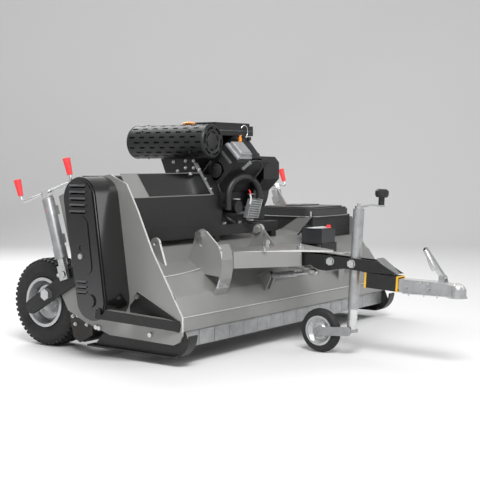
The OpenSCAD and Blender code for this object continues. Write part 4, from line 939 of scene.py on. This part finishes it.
def makeJockeyDish():
    mesh = bmesh.new()
    x, y, z, away = drawbar["x"], jockey["y"], jockey["z"], jockey["nutsAway"]
    for s in (-1, 1):
        line = [(x + s * out, y, z + r) for r, out in jockey["dish"]]
        spinLine(mesh, line, (x, y, z), (1, 0, 0), jockey["steps"])
        for k in range(jockey["nuts"]):
            angle = math.radians(jockey["nutsFrom"] + k * 360 / jockey["nuts"])
            at = (x + s * jockey["nutX"], y + away * math.cos(angle), z + away * math.sin(angle))
            addBolt(mesh, at, (s, 0, 0), *jockey["nutHead"], washer=False)
    finishPiece("JockeyRimDish", mesh, "jockey_wheel", "rimSilver", 35)


makeSlopePlate()
makeJockeyDish()
print("jockey trim made")


# Deck: edge of the wear plate that is laid over the front slope, and the lip along its foot, both as
# bright rods: painted highlights

deckEdge = {"points": [(-864, -234, 371), (-780, -233, 373), (-700, -228, 377), (-600, -216, 384),
                       (-510, -203, 392), (-432, -188, 401), (-370, -166, 414)],
            "radius": 2.6, "lipX": 864, "lip": (-329, 207), "lipRadius": 2.2}


def makeDeckEdge():
    mesh = bmesh.new()
    x, lip = deckEdge["lipX"], deckEdge["lip"]
    addRod(mesh, (-x, *lip), (x, *lip), deckEdge["lipRadius"], segments=8)
    addHose(mesh, deckEdge["points"], deckEdge["radius"], 6, 8)
    finishPiece("WearPlateEdgeHighlight", mesh, "machine", "silverEdgeHighlight", 50)


makeDeckEdge()
print("deck edge made")


# Hood: bead round the lid's foot with round corners, and the battery's two leads with their radii

hood = {"x": (466, 862), "y": (-124, 283), "z": 557, "corner": 70, "straight": 60, "bead": 2.6}
batteryLeads = [
    ([(440, -232, 516), (452, -246, 514), (470, -250, 490), (476, -240, 452), (478, -200, 436)], 5),
    ([(360, -180, 512), (352, -140, 516), (340, -126, 490), (336, -110, 470)], 4),
]


def makeHoodBead():
    mesh = bmesh.new()
    (x0, x1), (y0, y1), z, c = hood["x"], hood["y"], hood["z"], hood["corner"]
    reach = c + hood["straight"]
    angles = [math.radians(degrees) for degrees in range(0, 91, 15)]
    turns = [(c - c * math.cos(angle), c - c * math.sin(angle)) for angle in angles]
    left = [(x0 + early, y0 + late, z) for early, late in turns]
    right = [(x1 - late, y0 + early, z) for early, late in turns]
    route = [(x0, y1, z), (x0, y0 + reach, z), *left, (x0 + reach, y0, z), (x1 - reach, y0, z), *right,
             (x1, y0 + reach, z), (x1, y1, z)]
    addHose(mesh, route, hood["bead"], 3, 8)
    finishPiece("HoodBead", mesh, "machine", "galvanised", 50)


def makeBatteryLeads():
    mesh = bmesh.new()
    for route, r in batteryLeads:
        addHose(mesh, route, r)
    finishPiece("BatteryLeads", mesh, "machine", "hoseRubber", 50)


makeHoodBead()
makeBatteryLeads()
print("hood bead and battery leads made")


# Jacks: collar low on the tube, rings round its top, red dot on its outer side, along the slanted axis

collar = {"from": 92, "tall": 26, "radius": 27.5, "rim": (26, 2.4)}
topRings = {"radius": 24.5, "rings": ((3, 2.6), (14, 1.6))}
dot = {"along": 292, "away": 24.5, "proud": 2.5, "radii": (4, 3.4)}


def makeJackTrim():
    for s, label in ((-1, "Left"), (1, "Right")):
        mesh = bmesh.new()
        foot = Vector((s * jack["x"], *jack["foot"]))
        top = Vector((s * jack["x"], *jack["top"]))
        along = (top - foot).normalized()
        low = foot + along * collar["from"]
        high = low + along * collar["tall"]
        addRod(mesh, low, high, collar["radius"], segments=32)
        for at in (low, high):
            addRing(mesh, at, along, *collar["rim"], 32)
        finishPiece(label + "JackCollar", mesh, "machine", "galvanised", 40)
        mesh = bmesh.new()
        for under, thick in topRings["rings"]:
            addRing(mesh, top - along * under, along, topRings["radius"], thick, 32)
        finishPiece(label + "JackTopRing", mesh, "machine", "zinc", 40)
        mesh = bmesh.new()
        at = foot + along * dot["along"] + Vector((s * dot["away"], 0, 0))
        addRod(mesh, at, at + Vector((s * dot["proud"], 0, 0)), *dot["radii"], 12)
        finishPiece(label + "JackDot", mesh, "machine", "redGrip", 40)


makeJackTrim()
makeHitchFittings()
print("jack and hitch trim made")


# Floor that curves up to a backdrop behind the mower, in metres, and the light all round it

floor = {"colour": "#e6e6e6", "roughness": 0.85, "half": 150, "radius": 2.0, "back": 7.5, "top": 20.0}
studio = {"light": "#ffffff", "strength": 0.42, "shown": "#e8e8e8", "shownStrength": 0.9}


def makeFloor():
    mesh = bmesh.new()
    heading = math.radians(-camera["azimuth"])
    forward = Vector((math.sin(heading), math.cos(heading), 0))
    right = Vector((forward.y, -forward.x, 0))
    half, r, back = floor["half"], floor["radius"], floor["back"]
    line = [(-half, 0.0), (back - r, 0.0)]
    for degrees in range(6, 91, 6):
        angle = math.radians(degrees)
        line.append((back - r + r * math.sin(angle), r - r * math.cos(angle)))
    line.append((back, floor["top"]))
    row = [mesh.verts.new(forward * f - right * half + Vector((0, 0, z))) for f, z in line]
    edges = [mesh.edges.new(pair) for pair in zip(row, row[1:])]
    made = bmesh.ops.extrude_edge_only(mesh, edges=edges)["geom"]
    moved = [v for v in made if isinstance(v, bmesh.types.BMVert)]
    bmesh.ops.translate(mesh, verts=moved, vec=right * 2 * half)
    bmesh.ops.recalc_face_normals(mesh, faces=mesh.faces)
    data = bpy.data.meshes.new("Floor")
    mesh.to_mesh(data)
    mesh.free()
    data.polygons.foreach_set("use_smooth", [True] * len(data.polygons))
    item = bpy.data.objects.new("Floor", data)
    bpy.context.scene.collection.objects.link(item)
    # Matt paper, plain and pale, so that the mower's own shadow is all that shows on it
    material = bpy.data.materials.new("PaleStudioPaper")
    material.use_nodes = True
    shader = material.node_tree.nodes["Principled BSDF"]
    shader.inputs["Base Color"].default_value = linear(floor["colour"])
    shader.inputs["Roughness"].default_value = floor["roughness"]
    data.materials.append(material)


# Where the world itself is seen, mirrored or seen through, it is paler than the light it gives
def makeWorld():
    world = bpy.data.worlds.new("StudioWorld")
    bpy.context.scene.world = world
    world.use_nodes = True
    tree = world.node_tree
    tree.nodes.clear()
    path = addNode(tree, "ShaderNodeLightPath")
    direct = addNode(tree, "ShaderNodeMath", {"operation": "MAXIMUM"},
                     {0: path.outputs["Is Camera Ray"], 1: path.outputs["Is Glossy Ray"]})
    seen = addNode(tree, "ShaderNodeMath", {"operation": "MAXIMUM"},
                   {0: direct.outputs[0], 1: path.outputs["Is Transmission Ray"]})
    soft = addNode(tree, "ShaderNodeBackground",
                   {"Color": linear(studio["light"]), "Strength": studio["strength"]})
    pale = addNode(tree, "ShaderNodeBackground",
                   {"Color": linear(studio["shown"]), "Strength": studio["shownStrength"]})
    mixed = addNode(tree, "ShaderNodeMixShader", None,
                    {0: seen.outputs[0], 1: soft.outputs[0], 2: pale.outputs[0]})
    addNode(tree, "ShaderNodeOutputWorld", None, {"Surface": mixed.outputs[0]})


makeFloor()
makeWorld()
print("floor and world made")
